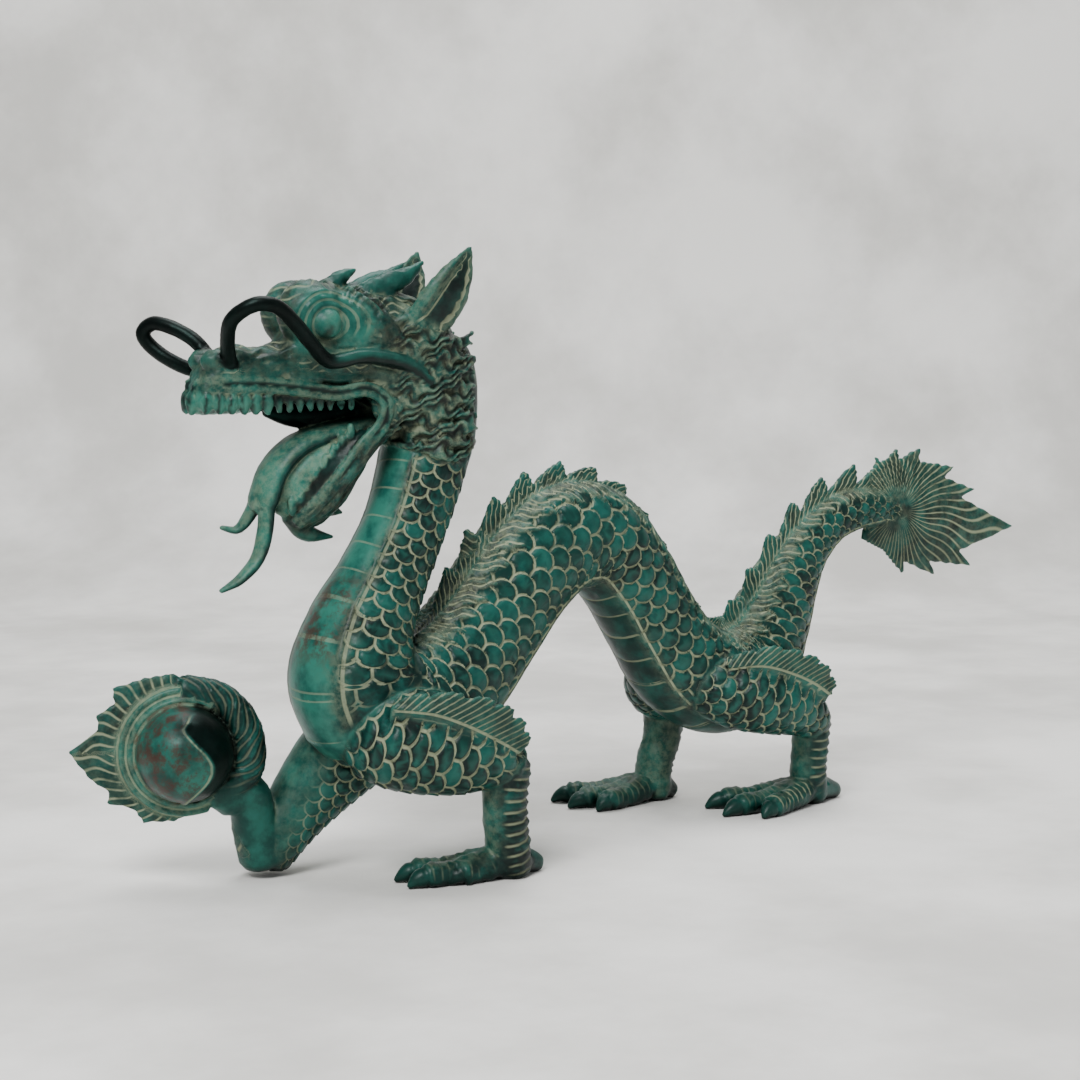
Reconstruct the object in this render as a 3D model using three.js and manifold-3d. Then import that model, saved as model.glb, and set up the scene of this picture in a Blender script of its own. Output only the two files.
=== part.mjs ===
// A cast bronze dragon that kneels on its right elbow and holds a pearl in the raised right paw.
// Millimetres, +Z up. The dragon faces -X, its left side is -Y, and it stands on z = 0 with the
// centre of its footprint box at the origin. Everything is one casting, so it is one solid.
import * as THREE from 'three';
import { mergeVertices } from 'three/addons/utils/BufferGeometryUtils.js';
import Module from 'manifold-3d';

const wasm = await Module();
wasm.setup();

// ---- Driving dimensions ---------------------------------------------------------------------

// Neck, body and tail: centre line and size, as [x, y, z, half width, half depth].
const NECK = [
  [-57, 4, 203, 15, 15],
  [-61, 4, 186, 19, 19.5],
  [-68, 2, 166, 18, 18.5],
  [-78, 0, 144, 17, 17.5],
  [-90, 0, 122, 18.5, 19],
  [-101, 0, 102, 23, 22.5],
  [-104, 0, 84, 27.5, 27],
  [-97, 0, 68, 28, 28],
];
const BODY = [
  [-96, 0, 69, 27, 29],
  [-78, 0, 68, 29, 30],
  [-56, 0, 79, 25, 27.5],
  [-35, 0, 99, 22.5, 26],
  [-16, 0, 120, 22.5, 26],
  [5, 0, 134, 23, 25.5],
  [27, 0, 133, 22.5, 23.5],
  [46, 0, 116, 21.5, 22],
  [64, 0, 91, 21.5, 22],
  [82, 0, 70, 23.5, 24],
  [106, 0, 60, 26, 25],
  [127, -1, 68, 23, 25],
  [139, -3, 86, 18, 21],
  [148, -5, 105, 14.5, 17],
  [158, -7, 121, 11.5, 13.5],
  [172, -9, 133, 10, 11.5],
  [189, -11, 138, 9, 10],
  [206, -12, 138.5, 7.5, 8],
  [219, -13, 136.5, 3, 3.5],
];
const BODY_STEPS = 2;            // rings from one station to the next along the curved body
// Half section of neck, body and tail as [degrees from the middle of the belly, reach]. A smooth
// band runs along the belly between two raised edges.
const BODY_SECTION = [[0, 0.98], [28, 0.97], [40, 1.04], [60, 1], [88, 1], [119, 1], [150, 1], [180, 1]];

// Dorsal fin: a saw of flame teeth that lean back towards the tail.
const TOOTH_PITCH = 18.5;
const FIN_START = 38;            // distance along the body where the fin begins
const FIN_ROOT = 4;              // how deep the fin sits in the body
const FIN_THICK = [5, 1.8];      // at the root and along the edge
const FIN_HEIGHTS = [5, 7.5, 8, 8.5, 8, 7, 6.5, 6, 6, 6, 5.5, 5.5, 6, 6.5, 7, 7.5, 8, 9, 10.5, 13, 16];
const FIN_LEAN = 0.45;

// Tail fan: tips as [angle, reach] about the end of the tail, in the plane of the tail.
const FAN_HUB = [217, -13, 137];
const FAN_SWING = 8;             // degrees that the fan turns towards the left side
const FAN_TIPS = [
  [112, 29], [86, 31], [60, 36], [27, 46], [9, 56], [-8, 84], [-30, 62], [-50, 45], [-77, 33],
];
const FAN_HEEL = [-146, 24];
const FAN_NOTCH = 0.82;
const FAN_THICK = [8, 4.2, 1.8];

// Limbs as [x, y, z, radius]; the feet follow as toe tips and a heel.
const LIMBS = {
  leftArm: [
    [-100, -10, 62, 20], [-96, -22, 60, 21.5], [-82, -31, 57, 21], [-66, -38, 52, 17], [-57, -42, 46, 11.5],
  ],
  leftForearm: [[-57, -42, 47, 10], [-59, -43, 32, 9.4], [-58, -43, 18, 9.3], [-55, -42, 4, 9]],
  leftThigh: [
    [82, -12, 63, 14], [100, -22, 58, 17.5], [118, -27, 53, 16.5], [133, -29, 47, 13], [143, -29, 40, 9.5],
  ],
  leftShank: [[143, -28, 42, 9.4], [143, -27, 28, 8.8], [143, -26, 15, 8.8], [146, -25, 4, 8.5]],
  rightThigh: [[78, 12, 64, 13], [86, 21, 59, 15], [95, 26, 52, 14.5], [100, 28, 45, 11.5]],
  rightShank: [[99, 28, 46, 10.5], [97, 28, 30, 9.3], [92, 28, 17, 9], [92, 28, 4, 8.5]],
  rightArm: [[-90, 10, 58, 20], [-104, 18, 43, 18], [-119, 22, 26, 14], [-132, 24, 9.6, 11]],
  rightForearm: [[-134, 24, 9.2, 10.5], [-139, 23, 24, 9.3], [-143, 20, 38, 9], [-146, 15, 49, 8.5]],
};
const FEET = [
  { ankle: [-56, -42], heel: [-41, -42], toes: [[-99, -21], [-101, -33], [-85, -40]] },
  { ankle: [145, -26], heel: [163, -25], toes: [[95, -5], [89, -23], [100, -38]] },
  { ankle: [93, 28], heel: [102, 26], toes: [[48, 53], [45, 37], [51, 23]] },
];
const TOE_RADIUS = 6.2;
const LIMB_SIDES = 9;

// Leaf fins on the limbs: midrib points with the height of the feathered side above each.
const LEAVES = {
  leftArm: [
    [-110, -34, 76, 4], [-97, -45, 74, 10], [-83, -50, 68, 14], [-70, -52, 61, 12], [-60, -53, 55, 6],
  ],
  leftThigh: [
    [86, -26, 72, 4], [100, -35, 73, 9], [114, -39, 69, 11], [128, -41, 63, 10], [140, -41, 56, 5],
  ],
  rightThigh: [
    [72, 25, 70, 4], [80, 33, 70, 8], [90, 38, 66, 10], [100, 39, 60, 9], [108, 39, 54, 5],
  ],
};
const LEAF_LOBES = 7;
const LEAF_THICK = [4.5, 1.8];

// Pearl and paw. The paw is a cup whose open side faces the dragon's left and a little forward.
const PEARL = [-171, 23, 56];
const PEARL_RADIUS = 19.5;
const PAW_FACING = 30;           // degrees between the cup's axis and the left side
const PAW_RIM = 25;
const PAW_BACK = 8;              // the rim lies this far behind the pearl's centre
// Palm: a dish, from its back to its inside, as [share of the rim, distance behind the rim].
const PALM = [[0.35, 17], [0.8, 12], [1, 3], [0.93, -4], [0.6, -2]];
const PALM_SIDES = 14;
// Fringe of flame leaves as [angle, reach]: tips and the notches between them.
const PAW_FRINGE = [
  [82, 27], [97, 32], [118, 34], [137, 38.5], [144, 34], [156, 38], [164, 35.5], [179, 46], [196, 39],
  [208, 34], [213, 37.5], [228, 31], [240, 33.5], [262, 29], [285, 25],
];

// Head frame: origin, and how far it is turned to the dragon's right.
const HEAD_AT = [-70, 2, 200];
const HEAD_TURN = 12;
// Upper head, back to nose, as [forward, half width, top, bottom].
const SKULL = [
  [-19, 12, 14, -16],
  [-12, 17, 28, -21],
  [0, 20, 38, -20],
  [14, 19.5, 43, -12],
  [30, 18, 44, -1],
  [44, 16.5, 41, -1.5],
  [54, 14.5, 34, -2],
  [62, 12.5, 22, -2.5],
  [72, 12, 19, -6.5],
  [82, 12.5, 20.5, -7.2],
  [90, 12.5, 16, -7.5],
  [95.5, 10.5, 10, -7.5],
  [98.5, 8, 4, -6.5],
];
// Lower jaw, hinge to chin, as [forward, up, half width, thickness].
const JAW = [
  [16, -8, 15, 10], [28, -15, 15, 8.5], [40, -29, 13, 11], [50, -42, 10.5, 11], [58, -51, 6, 7],
];
const JAW_FLOOR = 5;             // how deep the jaw's trough is between its two closed ends
// Lip: one ridge from the nose round the corner of the mouth to the chin, as [forward, left, up].
const LIP = [
  [97.5, 5, 0], [89, 11.8, -0.5], [74, 12.5, 1], [58, 14, 0.5], [42, 16.5, -1.5], [30, 18, 0],
  [23, 18, -4], [24, 17, -11], [31, 15.5, -19], [40, 13.5, -31], [49, 10, -43], [57, 5.5, -51],
];
const LIP_RADIUS = 2.3;
const TONGUE = [[9, -9], [30, -13], [45, -16], [57, -20], [66, -30], [70, -43]];
const TONGUE_WIDTH = 8.5;
// Solid throat between palate and tongue, as [forward, up, half width, half height].
const THROAT = [[12, -5, 9, 6], [45, -8.5, 7.5, 8], [65, -11, 6, 8.5]];
const FORKS = {
  right: [[68, -4, -38, 4.2], [72, -6, -49, 3.8], [77, -8, -55, 2.8], [83, -9, -54, 1.6]],
  left: [[68, 3, -38, 4.6], [69, 4, -54, 4.5], [73, 5, -66, 4], [81, 6, -74, 3.2], [89, 7, -78, 1.5]],
};
const BROW = { at: [50, 11, 33.5], size: [15.5, 9.5, 14.5] };
const EYE = { at: [47, 17, 28.5], radius: 6.3 };
const EAR = [[5, 14, 26, 9], [-2, 19, 36, 10.5], [-8, 23, 48, 7.5], [-13, 26, 60, 0.8]];
const HORN = [[26, 8, 40, 5.5], [16, 9, 45, 5], [8, 9.5, 48.5, 3.4], [1, 9.5, 54, 0.8]];
const CREST = [[40, 0, 42, 4], [34, 0, 47, 3.2], [27, 0, 51, 0.8]];
const WHISKER_LEFT = [
  [84, 8, 10], [89, 18, 21], [90, 27, 30], [83, 33, 35.5], [75, 34, 35], [66, 30, 29],
  [57, 25, 21], [47, 20, 13.5], [31, 19.5, 15.5], [12, 20, 12], [2, 19, 5],
];
const WHISKER_RIGHT = [
  [84, -8, 10], [91, -13, 21], [99, -20, 27], [105, -27, 28.5], [108, -30, 25], [106, -29, 20.5],
  [98, -24, 13.5], [88, -21, 9.5], [70, -20, 10], [47, -20, 13.5], [31, -19.5, 15.5], [12, -20, 12],
  [2, -19, 5],
];
const WHISKER_RADIUS = 3.1;
// Mane: locks that wave back from the cheek and wrap round the nape. Every row repeats one path,
// as [forward, left, rise, half height, half thickness].
const MANE_LOCKS = [
  { rows: 4, top: 20, step: 12, path: [[8, 17, 0, 6, 3.4], [-8, 20, 2.5, 6, 4], [-22, 8, 4]] },
  { rows: 2, top: 3, step: 12, path: [[24, 15, 0, 5, 3.2], [10, 19.5, 2, 5.5, 3.6], [-5, 20, 3]] },
];
const BEARD = [
  [[56, 0, -49, 5], [50, 0, -56.5, 4], [38, 0, -59]],
  [[46, 0, -41, 5], [40, 0, -47, 3.6], [34, 0, -49]],
];
const UPPER_TEETH = { count: 6, first: [66, 10.5, 0], last: [36, 13.5, 0], tip: [0, 0, -5.5], radius: 2.2 };
const LOWER_TEETH = { count: 6, first: [31, 11.5, -19], last: [55, 7, -48], tip: [4.5, 0, 4], radius: 2.3 };

const SMALLEST_STEP = 0.4;       // detail under this size is dropped from the finished solid

// ---- Small geometry helpers --------------------------------------------------------------------

const UP = new THREE.Vector3(0, 0, 1);
const LEFT_RIGHT = new THREE.Vector3(0, 1, 0);
const vector = (p) => new THREE.Vector3(p[0], p[1], p[2]);
const radians = THREE.MathUtils.degToRad;

// Value at t of a smooth curve through a list of numbers.
function smooth(values, t) {
  const span = Math.min(Math.floor(t), values.length - 2);
  const w = t - span;
  const b = values[span];
  const c = values[span + 1];
  const a = span > 0 ? values[span - 1] : 2 * b - c;
  const d = span + 2 < values.length ? values[span + 2] : 2 * c - b;
  const slopeB = (c - a) / 2;
  const slopeC = (d - b) / 2;
  const rise = c - b;
  return b + slopeB * w + (3 * rise - 2 * slopeB - slopeC) * w * w + (slopeB + slopeC - 2 * rise) * w ** 3;
}

// Even samples along stations: each has its place, its direction and its other numbers.
function follow(stations, steps) {
  const curve = new THREE.CatmullRomCurve3(stations.map(vector), false, 'centripetal');
  const count = (stations.length - 1) * steps;
  const samples = [];
  for (let i = 0; i <= count; i += 1) {
    const t = i / count;
    const sizes = stations[0].slice(3).map((_, k) => smooth(stations.map((s) => s[k + 3]), i / steps));
    samples.push({ at: curve.getPoint(t), along: curve.getTangent(t), sizes });
  }
  return samples;
}

// Side and upward directions of a section that is square to `along`.
function sectionFrame(along, sideHint) {
  const side = sideHint.clone().addScaledVector(along, -sideHint.dot(along)).normalize();
  return { side, up: new THREE.Vector3().crossVectors(along, side) };
}

function signedVolume(points, faces) {
  const triple = ([a, b, c]) => points[a].dot(new THREE.Vector3().crossVectors(points[b], points[c]));
  return faces.reduce((sum, face) => sum + triple(face), 0) / 6;
}

// A closed mesh from shared points and faces, turned so that its faces point out.
function closedMesh(points, faces) {
  const turned = signedVolume(points, faces) < 0 ? faces.map(([a, b, c]) => [a, c, b]) : faces;
  return new wasm.Manifold(new wasm.Mesh({
    numProp: 3,
    vertProperties: new Float32Array(points.flatMap((p) => p.toArray())),
    triVerts: new Uint32Array(turned.flat()),
  }));
}

// A skin over rings of equal count, closed at both ends by a middle point; `tip` is a sharp end.
function loft(rings, tip) {
  const n = rings[0].length;
  const points = rings.flat();
  const faces = [];
  for (let r = 0; r + 1 < rings.length; r += 1) {
    for (let i = 0; i < n; i += 1) {
      const a = r * n + i;
      const b = r * n + ((i + 1) % n);
      faces.push([a, b, b + n], [a, b + n, a + n]);
    }
  }
  [[0, true], [rings.length - 1, false]].forEach(([r, first]) => {
    const centre = points.length;
    const middle = rings[r].reduce((sum, p) => sum.add(p), new THREE.Vector3()).divideScalar(n);
    points.push(tip && !first ? tip : middle);
    for (let i = 0; i < n; i += 1) {
      const a = r * n + i;
      const b = r * n + ((i + 1) % n);
      faces.push(first ? [centre, b, a] : [centre, a, b]);
    }
  });
  return closedMesh(points, faces);
}

// A section is a list of [turn in radians, reach]; a round one has `sides` even steps.
const roundSection = (sides) => Array.from({ length: sides }, (_, i) => [(2 * Math.PI * i) / sides, 1]);

function ringAt(sample, section, sideHint, shift = 0, scale = 1) {
  const { side, up } = sectionFrame(sample.along, sideHint);
  const [halfWidth, halfDepth = halfWidth] = sample.sizes;
  return section.map(([turn, reach]) => (
    sample.at.clone().addScaledVector(sample.along, shift)
      .addScaledVector(side, Math.sin(turn) * halfWidth * reach * scale)
      .addScaledVector(up, Math.cos(turn) * halfDepth * reach * scale)));
}

// A tube of changing size with rounded ends.
function limb(stations, { section = roundSection(LIMB_SIDES), steps = 2, sideHint = LEFT_RIGHT } = {}) {
  const samples = follow(stations, steps);
  const rings = samples.map((s) => ringAt(s, section, sideHint));
  const cap = (s, sign) => ringAt(s, section, sideHint, sign * 0.6 * s.sizes[0], 0.75);
  return loft([cap(samples[0], -1), ...rings, cap(samples[samples.length - 1], 1)]);
}

// A plain tube with cut ends, for parts whose ends lie inside other parts.
function rod(stations, sides, sideHint = LEFT_RIGHT) {
  return loft(follow(stations, 1).map((s) => ringAt(s, roundSection(sides), sideHint)));
}

// A tube that ends in a sharp point; the last station is the tip and needs no size.
function spike(stations, sides = 4, sideHint = UP) {
  const sized = stations.map((s, i) => (i + 1 < stations.length ? s : [...s.slice(0, 3), 1, 1]));
  const samples = follow(sized, 1);
  const tip = samples.pop().at;
  return loft(samples.map((s) => ringAt(s, roundSection(sides), sideHint)), tip);
}

// A solid from a closed three.js geometry.
function fromGeometry(geometry) {
  geometry.deleteAttribute('normal');
  geometry.deleteAttribute('uv');
  const merged = mergeVertices(geometry, 1e-4);
  const places = merged.getAttribute('position');
  const point = (i) => new THREE.Vector3().fromBufferAttribute(places, i);
  const points = Array.from({ length: places.count }, (_, i) => point(i));
  const index = Array.from(merged.index.array);
  const faces = Array.from({ length: index.length / 3 }, (_, i) => index.slice(3 * i, 3 * i + 3));
  return closedMesh(points, faces);
}

function ellipsoid(at, size, sides = 12) {
  const ball = new THREE.SphereGeometry(1, sides, Math.round(sides * 0.66));
  return fromGeometry(ball.scale(...size).translate(...at));
}

const fuse = (solids) => solids.reduce((whole, next) => whole.add(next));

// A thin blade with leaning teeth on a base line. Each frame has its place and three directions.
function sawBlade(frames, heights, teeth, thick, root, lean) {
  const profile = [[0, 0.5], [0.5, 0.88], [0.93, 1]];
  const rings = [];
  for (let tooth = 0; tooth < teeth; tooth += 1) {
    profile.forEach(([place, share]) => {
      const t = (tooth + place) / teeth;
      const f = frames(t);
      const height = heights(t) * share;
      const top = f.at.clone().addScaledVector(f.up, height).addScaledVector(f.along, lean * height);
      const foot = f.at.clone().addScaledVector(f.up, -root);
      const corner = (p, half) => p.clone().addScaledVector(f.side, half);
      rings.push([corner(foot, -thick[0] / 2), corner(foot, thick[0] / 2),
        corner(top, thick[1] / 2), corner(top, -thick[1] / 2)]);
    });
  }
  return loft(rings);
}

// ---- Body ---------------------------------------------------------------------------------------

function neckAndBody() {
  const half = BODY_SECTION.map(([angle, reach]) => [radians(180 - angle), reach]);
  const mirrored = half.slice(1, -1).reverse().map(([turn, reach]) => [-turn, reach]);
  const section = [...half, ...mirrored];
  return fuse([limb(NECK, { section, steps: 1 }), limb(BODY, { section, steps: BODY_STEPS })]);
}

function dorsalFrames() {
  const samples = follow(BODY, 12);
  const distances = [0];
  for (let i = 1; i < samples.length; i += 1) {
    const back = (s) => s.at.clone().addScaledVector(sectionFrame(s.along, LEFT_RIGHT).up, s.sizes[1]);
    distances.push(distances[i - 1] + back(samples[i]).distanceTo(back(samples[i - 1])));
  }
  const length = distances[distances.length - 1];
  const at = (distance) => {
    const i = Math.min(distances.findIndex((d) => d >= distance), samples.length - 1);
    const s = samples[i < 0 ? samples.length - 1 : i];
    const { side, up } = sectionFrame(s.along, LEFT_RIGHT);
    return { at: s.at.clone().addScaledVector(up, s.sizes[1]), side, up, along: s.along };
  };
  return { at, length };
}

function dorsalFin() {
  const back = dorsalFrames();
  const teeth = Math.floor((back.length - FIN_START) / TOOTH_PITCH);
  const heights = (t) => smooth(FIN_HEIGHTS, t * (FIN_HEIGHTS.length - 1));
  const frames = (t) => back.at(FIN_START + t * teeth * TOOTH_PITCH);
  return sawBlade(frames, heights, teeth, FIN_THICK, FIN_ROOT, FIN_LEAN);
}

// The fan is a flat leaf with a rib to each tip and a valley to each notch.
function tailFan() {
  const hub = vector(FAN_HUB);
  const out = new THREE.Vector3(Math.cos(radians(FAN_SWING)), -Math.sin(radians(FAN_SWING)), 0);
  const side = new THREE.Vector3().crossVectors(out, UP);
  const edge = [];
  const tips = [...FAN_TIPS];
  tips.forEach(([angle, reach], i) => {
    edge.push([angle, reach, 1]);
    if (i + 1 < tips.length) {
      const next = tips[i + 1];
      const near = reach < next[1] ? 0.85 : 0.15;
      edge.push([angle * near + next[0] * (1 - near), FAN_NOTCH * Math.min(reach, next[1]), 0.6]);
    }
  });
  edge.push([FAN_HEEL[0] + 40, FAN_HEEL[1] * 0.85, 1], [FAN_HEEL[0], FAN_HEEL[1], 1]);
  const ray = (angle, reach) => hub.clone()
    .addScaledVector(out, reach * Math.cos(radians(angle)))
    .addScaledVector(UP, reach * Math.sin(radians(angle)));
  const shell = (sign) => [0.33, 0.72, 1].map((part, ring) => edge.map(([angle, reach, rib]) => (
    ray(angle, reach * part).addScaledVector(side, sign * (ring < 2 ? rib : 1) * FAN_THICK[ring] / 2))));
  const n = edge.length;
  const middle = [1, -1].map((sign) => hub.clone().addScaledVector(side, (sign * FAN_THICK[0]) / 2));
  const points = [...middle, ...shell(1).flat(), ...shell(-1).flat()];
  const front = (ring, i) => 2 + ring * n + (i % n);
  const rear = (ring, i) => 2 + (3 + ring) * n + (i % n);
  const faces = [];
  for (let i = 0; i < n; i += 1) {
    faces.push([0, front(0, i), front(0, i + 1)], [1, rear(0, i + 1), rear(0, i)]);
    for (let ring = 0; ring < 2; ring += 1) {
      faces.push([front(ring, i), front(ring + 1, i), front(ring + 1, i + 1)]);
      faces.push([front(ring, i), front(ring + 1, i + 1), front(ring, i + 1)]);
      faces.push([rear(ring, i), rear(ring + 1, i + 1), rear(ring + 1, i)]);
      faces.push([rear(ring, i), rear(ring, i + 1), rear(ring + 1, i + 1)]);
    }
    faces.push([front(2, i), rear(2, i), rear(2, i + 1)], [front(2, i), rear(2, i + 1), front(2, i + 1)]);
  }
  return closedMesh(points, faces);
}

// ---- Limbs --------------------------------------------------------------------------------------

function foot({ ankle, heel, toes }) {
  const start = new THREE.Vector3(ankle[0], ankle[1], TOE_RADIUS);
  const parts = toes.map(([x, y]) => {
    const tip = new THREE.Vector3(x, y, 0);
    const reach = (share, height) => start.clone().lerp(tip, share).setZ(height).toArray();
    return spike([
      [...reach(0.02, TOE_RADIUS + 2), TOE_RADIUS],
      [...reach(0.35, TOE_RADIUS - 0.5), TOE_RADIUS],
      [...reach(0.6, TOE_RADIUS - 1.8), TOE_RADIUS * 0.82],
      [...reach(0.85, TOE_RADIUS - 2), TOE_RADIUS * 0.85],
      reach(1, 1),
    ], 6, LEFT_RIGHT);
  });
  const spur = [[ankle[0], ankle[1], TOE_RADIUS + 2, TOE_RADIUS + 1.5], [heel[0], heel[1], 3.5, 4]];
  return fuse([...parts, limb(spur, { section: roundSection(6), steps: 1 })]);
}

// A feathered leaf that lies against the outside of a limb and lifts off behind it.
function leaf(midrib) {
  const curve = new THREE.CatmullRomCurve3(midrib.map(vector), false, 'centripetal');
  const outward = Math.sign(midrib[0][1]);
  const frames = (t) => {
    const along = curve.getTangent(t);
    const up = new THREE.Vector3(0, outward * 0.25, 1);
    up.addScaledVector(along, -up.dot(along)).normalize();
    return { at: curve.getPoint(t), along, up, side: new THREE.Vector3().crossVectors(along, up) };
  };
  const heights = (t) => smooth(midrib.map((m) => m[3]), t * (midrib.length - 1));
  return sawBlade(frames, heights, LEAF_LOBES, LEAF_THICK, 5, 0.5);
}

// ---- Paw and pearl --------------------------------------------------------------------------------

function pawAndPearl() {
  const facing = new THREE.Vector3(-Math.sin(radians(PAW_FACING)), -Math.cos(radians(PAW_FACING)), 0);
  const across = new THREE.Vector3(Math.cos(radians(PAW_FACING)), -Math.sin(radians(PAW_FACING)), 0);
  const pearl = vector(PEARL);
  const place = (angle, reach, back) => pearl.clone()
    .addScaledVector(across, reach * Math.cos(radians(angle)))
    .addScaledVector(UP, reach * Math.sin(radians(angle)))
    .addScaledVector(facing, -back);
  // Palm: a shallow dish behind the pearl.
  const palm = loft(PALM.map(([share, behind]) => Array.from({ length: PALM_SIDES }, (_, i) => (
    place((360 * i) / PALM_SIDES, PAW_RIM * share, PAW_BACK + behind)))));
  // Back of the paw: from the wrist round the right of the pearl to its top.
  const wrap = [-48, -15, 20, 55, 90].map((angle, i) => (
    [...place(angle, PAW_RIM, PAW_BACK + 1).toArray(), 8.8 - i * 0.7]));
  const wrist = LIMBS.rightForearm[2];
  const back = limb([wrist, ...wrap], { section: roundSection(8), steps: 1, sideHint: facing });
  // Fringe of flame leaves on the other side, thick at the rim and thin at the tips.
  const fringe = loft(PAW_FRINGE.map(([angle, reach]) => [
    place(angle, PAW_RIM * 0.7, PAW_BACK + 6), place(angle, PAW_RIM * 0.7, PAW_BACK - 2),
    place(angle, reach, PAW_BACK - 1), place(angle, reach, PAW_BACK + 1.2),
  ]));
  return fuse([ellipsoid(PEARL, [PEARL_RADIUS, PEARL_RADIUS, PEARL_RADIUS], 14), palm, back, fringe]);
}

// ---- Head -----------------------------------------------------------------------------------------

// Head frame: x forward, y to the dragon's left, z up.
function headMatrix() {
  const forward = new THREE.Vector3(-Math.cos(radians(HEAD_TURN)), Math.sin(radians(HEAD_TURN)), 0);
  const left = new THREE.Vector3().crossVectors(UP, forward);
  return new THREE.Matrix4().makeBasis(forward, left, UP).setPosition(vector(HEAD_AT));
}

function skull() {
  const rings = SKULL.map(([forward, half, top, bottom]) => Array.from({ length: 12 }, (_, i) => {
    const turn = (2 * Math.PI * i) / 12;
    const square = (v) => Math.sign(v) * Math.abs(v) ** 0.75;
    return new THREE.Vector3(forward, half * square(Math.sin(turn)),
      (top + bottom) / 2 + ((top - bottom) / 2) * square(Math.cos(turn)));
  }));
  return loft(rings);
}

function lowerJaw() {
  const rings = JAW.map(([forward, up, half, thick], i) => {
    const before = JAW[Math.max(i - 1, 0)];
    const after = JAW[Math.min(i + 1, JAW.length - 1)];
    const along = new THREE.Vector3(after[0] - before[0], 0, after[1] - before[1]).normalize();
    const down = new THREE.Vector3(along.z, 0, -along.x);
    const floor = before === JAW[i] || after === JAW[i] ? 0 : JAW_FLOOR;
    const point = (left, deep) => new THREE.Vector3(forward, left * half, up).addScaledVector(down, deep);
    return [point(0, floor), point(0.55, floor * 0.8), point(0.75, 0), point(1, 0),
      point(1.02, thick * 0.4), point(0.7, thick * 0.85), point(0, thick),
      point(-0.7, thick * 0.85), point(-1.02, thick * 0.4), point(-1, 0), point(-0.75, 0),
      point(-0.55, floor * 0.8)];
  });
  return loft(rings);
}

const mirror = ([x, y, z, ...rest]) => [x, -y, z, ...rest];

function bothSides(build) {
  return [build((p) => p), build(mirror)];
}

function lips() {
  return bothSides((side) => rod(LIP.map((p) => side([...p, LIP_RADIUS])), 5));
}

function toothRow({ count, first, last, tip, radius }) {
  return bothSides((side) => Array.from({ length: count }, (_, i) => {
    const root = vector(first).lerp(vector(last), i / (count - 1));
    const end = root.clone().add(vector(tip));
    return spike([side([...root.toArray(), radius]), side(end.toArray())], 4, new THREE.Vector3(1, 0, 0.2));
  })).flat();
}

function tongue() {
  const blade = rod(TONGUE.map(([forward, up]) => [forward, 0, up, TONGUE_WIDTH, 2.4]), 8);
  const throat = rod(THROAT.map(([forward, up, ...sizes]) => [forward, 0, up, ...sizes]), 8);
  return [throat, blade, rod(FORKS.left, 6), rod(FORKS.right, 6)];
}

function eyes() {
  return bothSides((side) => fuse([
    ellipsoid(side(BROW.at), BROW.size, 11),
    ellipsoid(side(EYE.at), [EYE.radius, EYE.radius, EYE.radius], 9),
  ]));
}

function earsAndHorns() {
  const pairs = bothSides((side) => fuse([
    spike(EAR.map(([x, y, z, r]) => side([x, y, z, r, r * 0.55])), 6, new THREE.Vector3(1, 0, 0)),
    spike(HORN.map(side), 5),
  ]));
  return [...pairs, spike(CREST, 5)];
}

function mane() {
  const lock = (side, path, height) => (
    spike(path.map(([forward, left, rise, ...sizes]) => side([forward, left, height + rise, ...sizes]))));
  return bothSides((side) => fuse(MANE_LOCKS.flatMap(({ rows, top, step, path }) => (
    Array.from({ length: rows }, (_, row) => lock(side, path, top - step * row))))));
}

function whiskers() {
  const sideHint = new THREE.Vector3(0.3, 1, 0.2);
  const round = (path) => path.map((p) => [...p, WHISKER_RADIUS]);
  return [WHISKER_LEFT, WHISKER_RIGHT].map((path) => rod(round(path), 5, sideHint));
}

function head() {
  const parts = [
    skull(), lowerJaw(), ...lips(), ...toothRow(UPPER_TEETH), ...toothRow(LOWER_TEETH), ...tongue(),
    ...eyes(), ...earsAndHorns(), ...mane(), ...whiskers(), ...BEARD.map((tuft) => spike(tuft, 6)),
  ];
  return fuse(parts).transform(headMatrix().elements);
}

// ---- Whole casting --------------------------------------------------------------------------------

// Everything below the standing surface is cut away, so the soles are flat.
function groundCut() {
  return fromGeometry(new THREE.BoxGeometry(900, 900, 60).translate(0, 0, -30));
}

function casting() {
  const limbs = Object.values(LIMBS).map((stations) => limb(stations, { steps: stations.length - 3 }));
  const leaves = Object.values(LEAVES).map(leaf);
  const whole = [neckAndBody(), dorsalFin(), tailFan(), ...limbs, ...leaves, ...FEET.map(foot)];
  const solid = fuse([...whole, pawAndPearl(), head()]).subtract(groundCut());
  return solid.simplify(SMALLEST_STEP);
}

function toGeometry(solid) {
  const mesh = solid.getMesh();
  const geometry = new THREE.BufferGeometry();
  geometry.setAttribute('position', new THREE.BufferAttribute(mesh.vertProperties, 3));
  geometry.setIndex(new THREE.BufferAttribute(mesh.triVerts, 1));
  geometry.computeVertexNormals();
  return geometry;
}

const bronze = new THREE.MeshStandardMaterial({ color: 0x1f5f50, roughness: 0.5, metalness: 0.6 });
const dragon = new THREE.Mesh(toGeometry(casting()), bronze);
dragon.name = 'dragon';

const group = new THREE.Group();
group.add(dragon);
const box = new THREE.Box3().setFromObject(dragon);
dragon.position.set(-(box.min.x + box.max.x) / 2, -(box.min.y + box.max.y) / 2, -box.min.z);

export default group;
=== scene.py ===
"""Cast bronze dragon: the finished surface, patina and photograph-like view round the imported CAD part.

Lengths are in millimetres in a design frame (head towards -X, +Z up) and become metres in the row
frame at the end. The large forms use the same stations as the CAD part. One voxel skin joins all
forms, relief is pressed into that skin, and the result is one mesh.
"""
import math

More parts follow.
